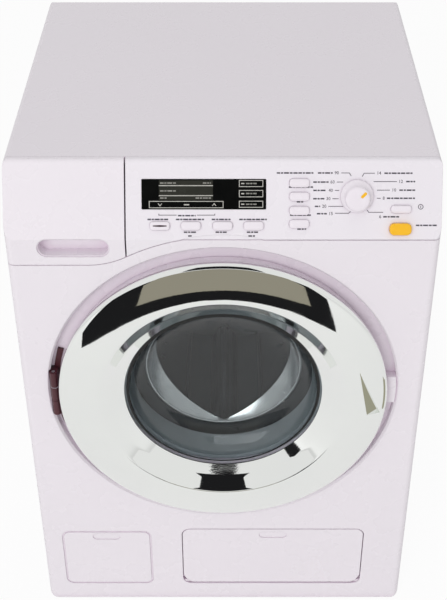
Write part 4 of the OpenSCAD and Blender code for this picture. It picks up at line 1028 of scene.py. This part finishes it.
@dataclass
class PortholeDoor:
    """The plated ring, the smoked bowl and the liner."""

    machine: Machine
    rim_radius: float = 75.5 * MM
    rim_round: float = 1.1 * MM
    rim_out: float = 5.4 * MM
    rim_back: float = 2.95 * MM
    ridge_radius: float = 57.2 * MM
    ridge_round: float = 0.9 * MM
    ridge_out: float = 8.3 * MM
    glass_radius: float = 45.8 * MM
    glass_out: float = 0.5 * MM
    glass_back: float = -0.1 * MM
    shell: float = 1.8 * MM
    band_slope: float = 0.30
    band_steps: int = 14
    grip_depth: float = 1.3 * MM
    bowl_radius: float = 45.0 * MM
    bowl_depth: float = 15.9 * MM
    bowl_wall: float = 1.5 * MM
    bowl_steps: int = 36
    bowl_flange: float = 49.8 * MM
    flange_levels: Point = (-1.45 * MM, -0.15 * MM)
    mouth_drop: float = 0.9 * MM
    mouth_round: float = 1.2 * MM
    leaf_inner: float = 75.9 * MM
    leaf_outer: float = 78.6 * MM
    leaf_levels: Point = (-4.45 * MM, -3.4 * MM)
    leaf_length: float = 47 * MM
    leaf_steps: int = 24
    knuckle_radius: float = 1.9 * MM
    knuckle_half: float = 3.8 * MM
    knuckle_sleeve: float = 0.15 * MM
    knuckle_steps: int = 48
    sectors: int = 288

    GRIP = ((61.5, 18.5, 0.08), (66.5, -7.9, 0.08), (72.6, -7.3, 1.25))

    def band_height(self, reach: float) -> float:
        """Height of the outer band, steeper at the rim than at the ridge.

        Args:
            reach: way in from the rim's rounding.

        Returns:
            The height.
        """
        rise = self.ridge_out - self.rim_out
        curve = (self.band_slope * self.band_width - rise) / self.band_width**2
        return self.rim_out + self.band_slope * reach - curve * reach * reach

    @property
    def band_width(self) -> float:
        """Width of the outer band, between the roundings of the rim and the ridge."""
        return self.rim_radius - self.rim_round - (self.ridge_radius + self.ridge_round)

    def section(self) -> list[Point]:
        """The ring's closed section of radius and height, from the rim's back to the inside.

        Returns:
            The section.
        """
        r, z, w = self.rim_radius, self.rim_out, self.shell
        edge = r - self.rim_round
        rim = softened([(r, self.rim_back), (r, z - 0.9 * MM), (edge, z)], 0.8 * MM)
        ways = [self.band_width * i / self.band_steps for i in range(self.band_steps)]
        band = [(edge - way, self.band_height(way)) for way in ways]
        ridge, top, glass = self.ridge_radius, self.ridge_out, self.glass_radius
        cone = softened(
            [
                (ridge + self.ridge_round, top), (ridge - 0.2 * MM, top + 0.05 * MM),
                (ridge - 1.1 * MM, top - 0.55 * MM), (ridge - 6.2 * MM, top - 4.6 * MM),
                (glass, self.glass_out),
            ],
            1.0 * MM,
        )
        inside = [
            (glass, self.glass_back), (glass + w, self.glass_back), (ridge - 0.4 * w, top - 1.3 * w),
            (ridge + 0.4 * w, top - 1.05 * w), (r - 0.5 * w, z - w), (r - 0.5 * w, self.rim_back),
        ]
        return rim[:-1] + band + cone + inside

    def grip(self) -> Form:
        """The three-cornered grip in the ring's band, as the form to cut away.

        Returns:
            The form.
        """
        low, high = [], []
        for x, y, share in self.GRIP:
            reach = self.rim_radius - self.rim_round - math.hypot(x, y) * MM
            low.append(Vector((x * MM, y * MM, self.band_height(reach) - self.grip_depth * share)))
            high.append(Vector((x * MM, y * MM, 2 * self.ridge_out)))
        return Form().loft([low, high])

    def dome(self, radius: float, start: float, depth: float) -> list[Point]:
        """One face of the bowl, from its mouth to its middle.

        Args:
            radius: radius of the mouth.
            start: height of the mouth.
            depth: how far the middle lies behind the mouth.

        Returns:
            Points of radius and height.
        """
        squareness, fullness, least = 0.55, 0.95, 0.02 * MM
        points = []
        for i in range(self.bowl_steps):
            turn = math.pi / 2 * i / self.bowl_steps
            fall = depth * math.sin(turn) ** fullness
            points.append((radius * math.cos(turn) ** squareness, start - fall))
        return points + [(least, start - depth)]

    def bowl(self) -> Form:
        """The smoked bowl with its flange behind the ring.

        Returns:
            The form.
        """
        mouth = self.bowl_radius - self.bowl_wall
        back, front = self.flange_levels
        top = front - self.mouth_drop
        inner = self.dome(mouth, top, self.bowl_depth - self.bowl_wall + top)
        outer = self.dome(self.bowl_radius, back, self.bowl_depth + back)
        edge = softened([(self.bowl_flange, front), (mouth, front), inner[0]], self.mouth_round)
        section = list(reversed(outer)) + [(self.bowl_flange, back)] + edge + inner[1:]
        return Form().turned(section, self.sectors)

    def hinge(self, place: Place) -> None:
        """Adds the hinge's curved leaf in the recess and the sleeve on the door's knuckle.

        Args:
            place: the door's frame.
        """
        m = self.machine
        half = math.asin(self.leaf_length / 2 / self.leaf_outer)
        ways = [math.pi - half + 2 * half * i / self.leaf_steps for i in range(self.leaf_steps + 1)]
        outer = [(self.leaf_outer * math.cos(a), self.leaf_outer * math.sin(a)) for a in ways]
        inner = [(self.leaf_inner * math.cos(a), self.leaf_inner * math.sin(a)) for a in reversed(ways)]
        leaf = Form().prism(outer + inner, *self.leaf_levels)
        leaf.piece("hinge_leaf", place, m.finish(HINGE), Body.CABINET, "hinge_plastic")
        pin = Vector(m.joint("door_hinge")["pos_m"])
        upright = Place(pin, Vector((0, 1, 0)), Vector((0, 0, 1)))
        r, h = self.knuckle_radius, self.knuckle_half
        around = r + self.knuckle_sleeve
        sleeve = Form().turned([(r, -h), (around, -h), (around, h), (r, h)], self.knuckle_steps)
        sleeve.piece("hinge_knuckle_sleeve", upright, m.finish(HINGE), Body.DOOR, "hinge_plastic")

    def build(self) -> None:
        """Makes the ring, the bowl and the hinge's trim, and dresses the rest."""
        m = self.machine
        place = m.door_place()
        plated = Form().turned(self.section(), self.sectors).piece(
            "door_ring_plated", place, m.finish(CHROME), Body.DOOR, "chrome_plate", ["door_ring"], 40.0
        )
        carve(plated, self.grip(), place, 30.0)
        self.bowl().piece(
            "door_glass_bowl", place, m.finish(SMOKED), Body.DOOR, "smoked_clear", ["door_glass"], 50.0
        )
        self.hinge(place)
        m.dress(SHELL, "door_liner", "door_hook")
        m.dress(STEEL, "door_screws")


@dataclass
class KeyCaps:
    """The ten buttons, each a crowned cap over its hidden rim, and the flush collars round them."""

    machine: Machine
    corner: float = 1.3 * MM
    door_corner: float = 2.0 * MM
    least_corner: float = 0.06 * MM
    corner_steps: int = 6
    face_from: float = 0.1 * MM
    pill_ease: float = 0.05 * MM
    crown_in: float = 1.2 * MM
    crown_up: float = 0.6 * MM
    crown_steps: int = 8
    rim: float = 0.75 * MM
    rim_back: float = -3.8 * MM
    rim_front: float = -2.8 * MM
    collar_gap: float = 0.03 * MM
    collar_grow: float = 0.24 * MM
    collar_depth: float = 0.8 * MM
    stem_radius: float = 1.5 * MM
    stem_steps: int = 32
    stem_overlap: float = 0.2 * MM
    dash_half: float = 2.9 * MM
    dash_tip: float = 0.22 * MM
    dash_middle: float = 0.4 * MM
    dash_proud: float = 0.02 * MM

    WHITE = (
        "start_button", "fill_button", "wash_button", "drain_button", "program_button",
        "option_button", "delay_button", "spin_button", "power_button",
    )

    def cap(self, node: str, corner: float, collars: Form) -> tuple[Form, Vector]:
        """One button's form, with its collar added to the shared ones.

        Args:
            node: the CAD node it stands for.
            corner: radius of the cap's corners.
            collars: the form of all collars.

        Returns:
            The form and the middle of its face.
        """
        place = self.machine.slope_place()
        low, high = self.machine.spread(node, place, above=self.face_from)
        rim_low = self.machine.spread(node, place)[0].z
        middle = (low + high) / 2
        width, height = high.x - low.x, high.y - low.y

        def outline(grow: float, radius: float = corner) -> list[Point]:
            """The cap's outline, grown or shrunk."""
            sizes = width + 2 * grow, height + 2 * grow, max(radius + grow, self.least_corner)
            return shifted(round_outline(*sizes, self.corner_steps), middle)

        pill = height / 2 - self.pill_ease
        rings = [raised(outline(self.rim, pill), z) for z in (max(rim_low, self.rim_back), self.rim_front)]
        rings.append(raised(outline(0.0), self.rim_front))
        for i in range(self.crown_steps + 1):
            turn = math.pi / 2 * i / self.crown_steps
            level = high.z - self.crown_up * (1 - math.sin(turn))
            rings.append(raised(outline(-self.crown_in * (1 - math.cos(turn))), level))
        collars.band(outline(self.collar_grow, pill), outline(self.collar_gap), -self.collar_depth, 0.0)
        return Form().loft(rings), Vector((middle.x, middle.y, high.z))

    def dash(self, at: Vector, place: Place) -> None:
        """Adds the printed dash on the start button.

        Args:
            at: the middle of the button's face.
            place: the slope's frame.
        """
        half, tip, swell = self.dash_half, self.dash_tip, self.dash_middle
        shape = [(-half, -tip), (0, -swell), (half, -tip), (half, tip), (0, swell), (-half, tip)]
        dash = Form().prism(shifted(shape, at), at.z, at.z + self.dash_proud)
        dash.piece("start_dash", place, self.machine.finish(DASH_INK), Body.START_KEY, "display_film")

    def build(self) -> None:
        """Makes the caps, the collars and the mark on the start button."""
        m = self.machine
        place = m.slope_place()
        collars = Form()
        for node in self.WHITE:
            form, middle = self.cap(node, self.corner, collars)
            form.piece(
                node + "_cap", place, m.finish(BUTTON), m.body_of(node), "button_plastic", [node], 60.0
            )
            if node == "start_button":
                self.dash(middle, place)
        form, middle = self.cap("door_button", self.door_corner, collars)
        stem_low = m.spread("door_button", place)[0].z
        stem = circle(self.stem_radius, self.stem_steps, middle)
        form.prism(stem, stem_low, self.rim_back + self.stem_overlap)
        form.piece(
            "door_button_cap", place, m.finish(YELLOW), m.body_of("door_button"), "yellow_plastic",
            ["door_button"], 60.0,
        )
        collars.piece("button_collars", place, m.finish(PANEL), Body.CABINET, "panel_plastic")


@dataclass
class ProgramKnob:
    """The knob with its skirt, its cap leaning down the slope, and the yellow mark."""

    machine: Machine
    levels: tuple[Point3, ...] = (
        (2.0, -3.0, 0.0), (2.0, 0.3, 0.0), (6.9, 0.3, 0.0), (6.95, 0.9, 0.0), (6.75, 1.35, 0.0),
        (6.3, 1.6, 0.0), (5.6, 2.4, -0.5), (5.3, 3.4, -0.9), (5.15, 4.2, -1.1), (4.9, 4.6, -1.15),
        (4.4, 4.8, -1.2), (3.0, 4.82, -1.2),
    )
    mark_at: Point = (2.45 * MM, 0.5 * MM)
    mark_size: Point = (1.2 * MM, 3.0 * MM)
    mark_corner: float = 0.5 * MM
    mark_turn: float = math.radians(-45)
    mark_levels: Point = (-0.25 * MM, 0.08 * MM)
    sectors: int = 96

    def build(self) -> None:
        """Makes the knob and its mark."""
        m = self.machine
        slope = m.slope_place()
        place = Place(Vector(m.joint("knob_turn")["pos_m"]), slope.up, slope.out)
        low, high = m.spread("program_knob", place)
        middle = (low + high) / 2
        lift = high.z - self.levels[-2][1] * MM
        rings = [
            raised(circle(r * MM, self.sectors, (middle.x, middle.y + shift * MM)), z * MM + lift)
            for r, z, shift in self.levels
        ]
        Form().loft(rings).piece(
            "program_knob_cap", place, m.finish(BUTTON), Body.KNOB, "button_plastic", ["program_knob"], 50.0
        )
        across, along = math.cos(self.mark_turn), math.sin(self.mark_turn)
        at = Vector((middle.x + self.mark_at[0], middle.y + self.mark_at[1]))
        outline = [
            (at.x + x * across - y * along, at.y + x * along + y * across)
            for x, y in round_outline(*self.mark_size, self.mark_corner)
        ]
        mark = Form().prism(outline, *(high.z + level for level in self.mark_levels))
        mark.piece("knob_mark", place, m.finish(YELLOW), Body.KNOB, "yellow_plastic", ["knob_pointer"])


@dataclass
class ControlPanel:
    """Display, switches behind the panel and the printed marks, with places in millimetres."""

    machine: Machine
    print_wall: float = 0.03 * MM
    film_wall: float = 0.02 * MM
    line_width: float = 0.28 * MM
    screen_line: float = 0.36 * MM
    thick_line: float = 0.5 * MM
    label_height: float = 1.35 * MM
    number_room: float = 2.6
    digit: float = 1.4
    number_gap: float = 0.4
    word: float = 0.62
    screen_word: float = 0.55
    word_gap: float = 0.32
    least_word: float = 0.3
    power_radius: float = 1.0
    power_bar: float = 0.5
    power_steps: int = 28
    arrow_half: float = 0.8

    WORD_LENGTHS = (1.5, 0.9, 2.1, 1.2, 1.8)
    HOOKS = (
        ((49.9, 28.3), (53.3, 28.3), (54.1, 27.0)), ((48.0, 24.5), (50.7, 24.5)),
        ((47.3, 21.0), (49.1, 21.0)), ((46.3, 17.5), (48.9, 17.5)), ((44.6, 14.3), (50.9, 14.3)),
        ((47.4, 11.4), (53.2, 11.4), (54.2, 12.4)), ((58.7, 26.8), (59.5, 28.2), (64.0, 28.2)),
        ((63.5, 24.7), (73.3, 24.7)), ((65.0, 21.1), (70.4, 21.1)), ((65.0, 17.7), (66.6, 17.7)),
        ((61.0, 12.8), (61.6, 11.8), (67.7, 11.8)),
    )
    LEFT_SCALE = (
        ("90", 48.9, 28.3, 40.1), ("60", 47.2, 24.5, 38.2), ("40", 46.5, 21.0, 38.2),
        ("30", 45.5, 17.5, 38.2), ("20", 43.8, 14.3, 38.9), ("15", 46.6, 11.2, 39.8),
    )
    RIGHT_SCALE = (
        ("14", 64.8, 28.2, 80.4), ("12", 74.0, 24.7, 81.0), ("10", 71.2, 21.1, 81.2),
        ("8", 67.4, 17.7, 81.3), ("6", 66.0, 9.9, 74.6),
    )
    STROKES = (
        (-31.6, -22.9, 8.8), (-19.6, -7.7, 8.8), (-4.5, 3.4, 8.8), (7.1, 18.7, 8.8),
        (-16.3, -11.2, 3.4), (-2.9, 1.8, 3.4), (10.3, 15.0, 3.4), (-14.5, -12.7, 1.8),
        (11.0, 14.0, 1.8), (22.8, 38.2, 28.3), (27.9, 38.1, 22.4), (31.3, 34.6, 16.2),
        (28.5, 37.8, 10.6), (31.6, 35.3, 4.7), (81.6, 90.4, 6.3), (-18.7, -11.3, 10.4),
    )
    BRACKETS = ((-26.8, -19.3), (-3.2, -10.7))
    BRACKET_RISE = (10.6, 11.2)
    POWER_SIGN = (83.5, 14.1)
    SCREEN = ((-26.7, -4.0), (17.0, 25.2))
    SCREEN_RULES = (23.0, 18.8)
    SCREEN_STROKES = (
        (-26.2, -19.2, 24.1), (-8.2, -4.8, 24.1), (-26.2, -19.0, 20.8), (-26.2, -23.2, 17.8),
        (-11.3, -4.8, 17.8),
    )
    FRAME = ((-30.8, 13.7), (0.3, 13.7), (0.3, 16.4), (-30.8, 16.4))
    ROW = 15.0
    ARROWS = ((-26.3, -0.5), (-3.5, 0.5))
    DASH = (-16.2, -14.0)
    BOX_SIDES = (7.1, 17.0)
    BOX_DASH = (7.9, 9.2)
    BOX_WORDS = (9.9, 14.4)
    BOXES = ((22.6, 25.2), (18.3, 21.0), (13.9, 16.5))
    BOX_STROKES = (23.9, 19.7, 15.2)

    def line(
        self, form: Form, *points: Point, width: float = 0.0, closed: bool = False, lift: float = 0.0
    ) -> None:
        """Adds a printed line given in millimetres on the panel.

        Args:
            form: the form that takes it.
            points: the path, in millimetres.
            width: the line's width in metres, or 0 for the usual one.
            closed: joins the end to the start.
            lift: height of the face that carries it.
        """
        path = [(x * MM, y * MM) for x, y in points]
        form.stroke(path, width or self.line_width, lift, lift + self.print_wall, closed)

    def broken(self, form: Form, start: float, end: float, y: float, height: float, lift: float) -> None:
        """Adds a plain broken stroke where the real panel has small words.

        Args:
            form: the form that takes it.
            start: its left end, in millimetres.
            end: its right end.
            y: its place up the slope.
            height: thickness of the stroke, in millimetres.
            lift: height of the face that carries it.
        """
        at, count = start, 0
        while at < end - self.least_word:
            stop = min(end, at + self.WORD_LENGTHS[count % len(self.WORD_LENGTHS)])
            self.line(form, (at, y), (stop, y), width=height * MM, lift=lift)
            at = stop + self.word_gap
            count += 1

    def build_print(self) -> None:
        """Prints the knob's scale, the marks by the buttons, the bracket and the power sign."""
        ink = Form()
        for hook in self.HOOKS:
            self.line(ink, *hook)
        for text, x, y, start in self.LEFT_SCALE:
            ink.numerals(text, self.label_height, (x * MM, y * MM), "RIGHT")
            self.broken(ink, start, x - self.number_room, y, self.word, 0.0)
        for text, x, y, end in self.RIGHT_SCALE:
            ink.numerals(text, self.label_height, (x * MM, y * MM), "LEFT")
            self.broken(ink, x + self.digit * len(text) + self.number_gap, end, y, self.word, 0.0)
        for start, end, y in self.STROKES:
            self.broken(ink, start, end, y, self.word, 0.0)
        low, high = self.BRACKET_RISE
        for outer, inner in self.BRACKETS:
            self.line(ink, (outer, high), (outer, low), (inner, low))
        x, y = self.POWER_SIGN
        self.line(ink, *circle(self.power_radius, self.power_steps, (x, y)), closed=True)
        self.line(ink, (x, y - self.power_bar), (x, y + self.power_bar))
        place = self.machine.slope_place()
        ink.piece("panel_print", place, self.machine.finish(INK), Body.CABINET, "display_film")

    def build_display(self) -> None:
        """Adds the screen and the light marks on the display window."""
        m = self.machine
        place = m.slope_place()
        lift = m.spread("display_window", place)[1].z
        face = lift + self.film_wall
        (left, right), (low, high) = self.SCREEN
        corners = ((left, low), (right, low), (right, high), (left, high))
        screen = Form().prism([(x * MM, y * MM) for x, y in corners], lift, face)
        screen.piece("display_screen", place, m.finish(SCREEN), Body.CABINET, "display_film")
        marks = Form()
        for y in self.SCREEN_RULES:
            self.line(marks, (left, y), (right, y), width=self.screen_line, lift=face)
        self.line(marks, *self.FRAME, closed=True, lift=lift)
        for x, way in self.ARROWS:
            tip, foot, half = (x, self.ROW + way), self.ROW - way, self.arrow_half
            self.line(marks, (x - half, foot), tip, (x + half, foot), lift=lift)
        start, end = self.DASH
        self.line(marks, (start, self.ROW), (end, self.ROW), width=self.thick_line, lift=lift)
        near, far = self.BOX_SIDES
        start, end = self.BOX_DASH
        for low, high in self.BOXES:
            middle = (low + high) / 2
            self.line(marks, (near, low), (far, low), (far, high), (near, high), closed=True, lift=lift)
            self.line(marks, (start, middle), (end, middle), width=self.thick_line, lift=lift)
        marks.piece("display_marks", place, m.finish(LIGHT_INK), Body.CABINET, "display_film")
        dim = Form()
        for start, end, y in self.SCREEN_STROKES:
            self.broken(dim, start, end, y, self.screen_word, face)
        for y in self.BOX_STROKES:
            self.broken(dim, *self.BOX_WORDS, y, self.screen_word, lift)
        dim.piece("display_dim_marks", place, m.finish(DIM_INK), Body.CABINET, "display_film")

    def build(self) -> None:
        """Dresses the panel and makes its printed marks."""
        m = self.machine
        m.dress(DISPLAY, "display_window")
        m.dress(BOARD, "circuit_board")
        m.dress(KEYPAD, "keypads", "program_switch")
        self.build_print()
        self.build_display()


@dataclass
class DetergentDrawer:
    """The drawer's front and tray."""

    machine: Machine

    def build(self) -> None:
        """Dresses the drawer."""
        self.machine.dress(SHELL, "drawer_front")
        self.machine.dress(BUTTON, "drawer_tray")


# ---------------------------------------------------------------- studio


@dataclass
class Studio:
    """Floor, world, lamps, camera and what the plating mirrors."""

    machine: Machine
    camera_at: Vector = field(default_factory=lambda: Vector((3.3, -513.2, 512.8)) * MM)
    look_down: float = math.radians(35.976)
    lens: float = 72.47
    sensor: float = 36.0
    shift: Point = (-0.01125, -0.0194)
    clip: Point = (0.01, 50.0)
    floor_half: float = 6.0
    floor_seen: float = 0.93
    floor_mirrored: float = 0.42
    room_light: float = 0.62
    table_edge: float = 0.385
    room_floor: float = 0.577
    room_end: float = 4.0

    BLACK = (0.012, 0.012, 0.013)
    PAPER = (0.9, 0.9, 0.9, 1)
    BEIGE = (0.29, 0.27, 0.215)
    SHADOW = (0.34, 0.33, 0.25)
    LAMPS = (
        ("front_softbox", (-0.5, -1.9, 1.1), (0, 0, 0.15), (1.6, 1.1), 18.5),
        ("top_softbox", (0, 0.1, 1.9), (0, 0, 0.2), (1.6, 1.6), 4.0),
    )

    def sheet(
        self, name: str, corners: Sequence[Sequence[float]], material: bpy.types.Material
    ) -> bpy.types.Object:
        """A flat face that belongs to the studio.

        Args:
            name: its name.
            corners: its corners in order.
            material: its material.

        Returns:
            The object.
        """
        mesh = bpy.data.meshes.new(name)
        mesh.from_pydata([Vector(c) for c in corners], [], [tuple(range(len(corners)))])
        mesh.materials.append(material)
        made = placed(name, mesh)
        return made

    def paper(self) -> bpy.types.Material:
        """The floor's paper: matt white, near pure white to the camera, greyer in the plating.

        Returns:
            The material.
        """
        s = Shade("floor_paper")
        matt = s.add("BsdfDiffuse", Color=self.PAPER).outputs["BSDF"]
        white = s.add("Emission").outputs["Emission"]
        light = s.add("LightPath").outputs
        seen = s.math("MULTIPLY", light["Is Camera Ray"], self.floor_seen)
        mirrored = s.math("MULTIPLY", light["Is Glossy Ray"], self.floor_mirrored)
        s.either(s.math("MAXIMUM", seen, mirrored), matt, white)
        return s.data

    def card(self, name: str, corners: Sequence[Sequence[float]], tone: Colour) -> None:
        """A card that only the plating mirrors.

        Args:
            name: its name.
            corners: its corners in order.
            tone: its colour.
        """
        s = Shade(name)
        light = s.add("Emission", Color=(*tone, 1), Strength=1.0)
        s.feed(s.out, Surface=light.outputs["Emission"])
        card = self.sheet(name, corners, s.data)
        card.visible_camera = False
        card.visible_diffuse = False
        card.visible_shadow = False
        card.visible_transmission = False

    def lamp(self, name: str, at: Point3, aim: Point3, size: Point, power: float) -> None:
        """A soft rectangular lamp.

        Args:
            name: its name.
            at: its place.
            aim: the point it faces.
            size: its width and height.
            power: watts.
        """
        data = bpy.data.lights.new(name, "AREA")
        data.shape, data.energy = "RECTANGLE", power
        data.size, data.size_y = size
        lamp = placed(name, data)
        lamp.location = at
        lamp.rotation_euler = (Vector(aim) - Vector(at)).to_track_quat("-Z", "Y").to_euler()
        lamp.visible_camera = False
        lamp.visible_glossy = False

    def world(self) -> None:
        """A white room: pure white to the camera, softer as a light."""
        s = Shade("studio", world=True)
        bpy.context.scene.world = s.data
        soft = s.add("Background", Strength=self.room_light).outputs["Background"]
        white = s.add("Background").outputs["Background"]
        light = s.add("LightPath").outputs
        s.either(s.math("MAXIMUM", light["Is Camera Ray"], light["Is Glossy Ray"]), soft, white)

    def camera(self) -> None:
        """The camera at the photograph's place."""
        data = bpy.data.cameras.new("camera")
        data.lens, data.sensor_width = self.lens, self.sensor
        data.shift_x, data.shift_y = self.shift
        data.clip_start, data.clip_end = self.clip
        camera = placed("camera", data)
        camera.location = self.camera_at
        camera.rotation_euler = (math.pi / 2 - self.look_down, 0, 0)
        bpy.context.scene.camera = camera

    def surroundings(self) -> None:
        """What the plating mirrors: a dark table edge, a beige room and the dark shape of a camera."""
        front = self.machine.front_y
        low, high = 0.4 * MM, 0.8 * MM
        left, right, middle, steps = -38, 25, 19, 24

        def ahead(degrees: float, way: float, z: float, x: float = 0.0, y: float = 0.0) -> Point3:
            """A point in front of the door, some way off in a direction from straight ahead."""
            a = math.radians(degrees)
            return x + way * math.sin(a), front + y - way * math.cos(a), z

        def fan(start: float, end: float, near: float, z: float) -> list[Point3]:
            """A sector of the table between two directions, from a near radius to the room's end."""
            ways = [start + (end - start) * i / steps for i in range(steps + 1)]
            return [ahead(a, near, z) for a in ways] + [ahead(a, self.room_end, z) for a in reversed(ways)]

        def wall(start: float, end: float, height: float) -> list[Point3]:
            """An upright card at the far end of a sector."""
            corners = ((start, 0), (end, 0), (end, height), (start, height))
            return [ahead(a, self.room_end, z) for a, z in corners]

        half, bottom, top, way = 0.15, 0.3, 0.62, front - 0.6
        camera = [(-half, way, bottom), (half, way, bottom), (half, way, top), (-half, way, top)]
        grip = [ahead(a, d, low, 0.069, -0.006) for a, d in ((48, 0.15), (66, 0.15), (66, 0.25), (48, 0.25))]
        self.card("table_edge_card", fan(left, right, self.table_edge, low), self.BLACK)
        self.card("room_floor_card", fan(-middle, middle, self.room_floor, high), self.BEIGE)
        self.card("room_wall_card", wall(-middle, middle, 0.5), self.BEIGE)
        self.card("left_wall_card", wall(left, -middle, 0.3), self.BLACK)
        self.card("right_wall_card", wall(middle, right, 0.3), self.BLACK)
        self.card("camera_card", camera, self.BLACK)
        self.card("grip_shadow_card", grip, self.SHADOW)

    def build(self) -> None:
        """Sets the scene up."""
        h = self.floor_half
        self.sheet("floor", [(-h, -h, 0), (h, -h, 0), (h, h, 0), (-h, h, 0)], self.paper())
        self.world()
        self.camera()
        self.surroundings()
        for lamp in self.LAMPS:
            self.lamp(*lamp)
        bpy.context.scene.view_settings.view_transform = "Standard"


def main() -> None:
    logging.basicConfig(level=logging.INFO, format="%(name)s: %(message)s")
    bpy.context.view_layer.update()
    machine = Machine()
    parts = (Housing, WashUnit, PortholeDoor, KeyCaps, ProgramKnob, ControlPanel, DetergentDrawer, Studio)
    for part in parts:
        part(machine).build()
        LOG.info("%s built", part.__name__)
    bpy.context.view_layer.update()


if __name__ == "__main__":
    main()
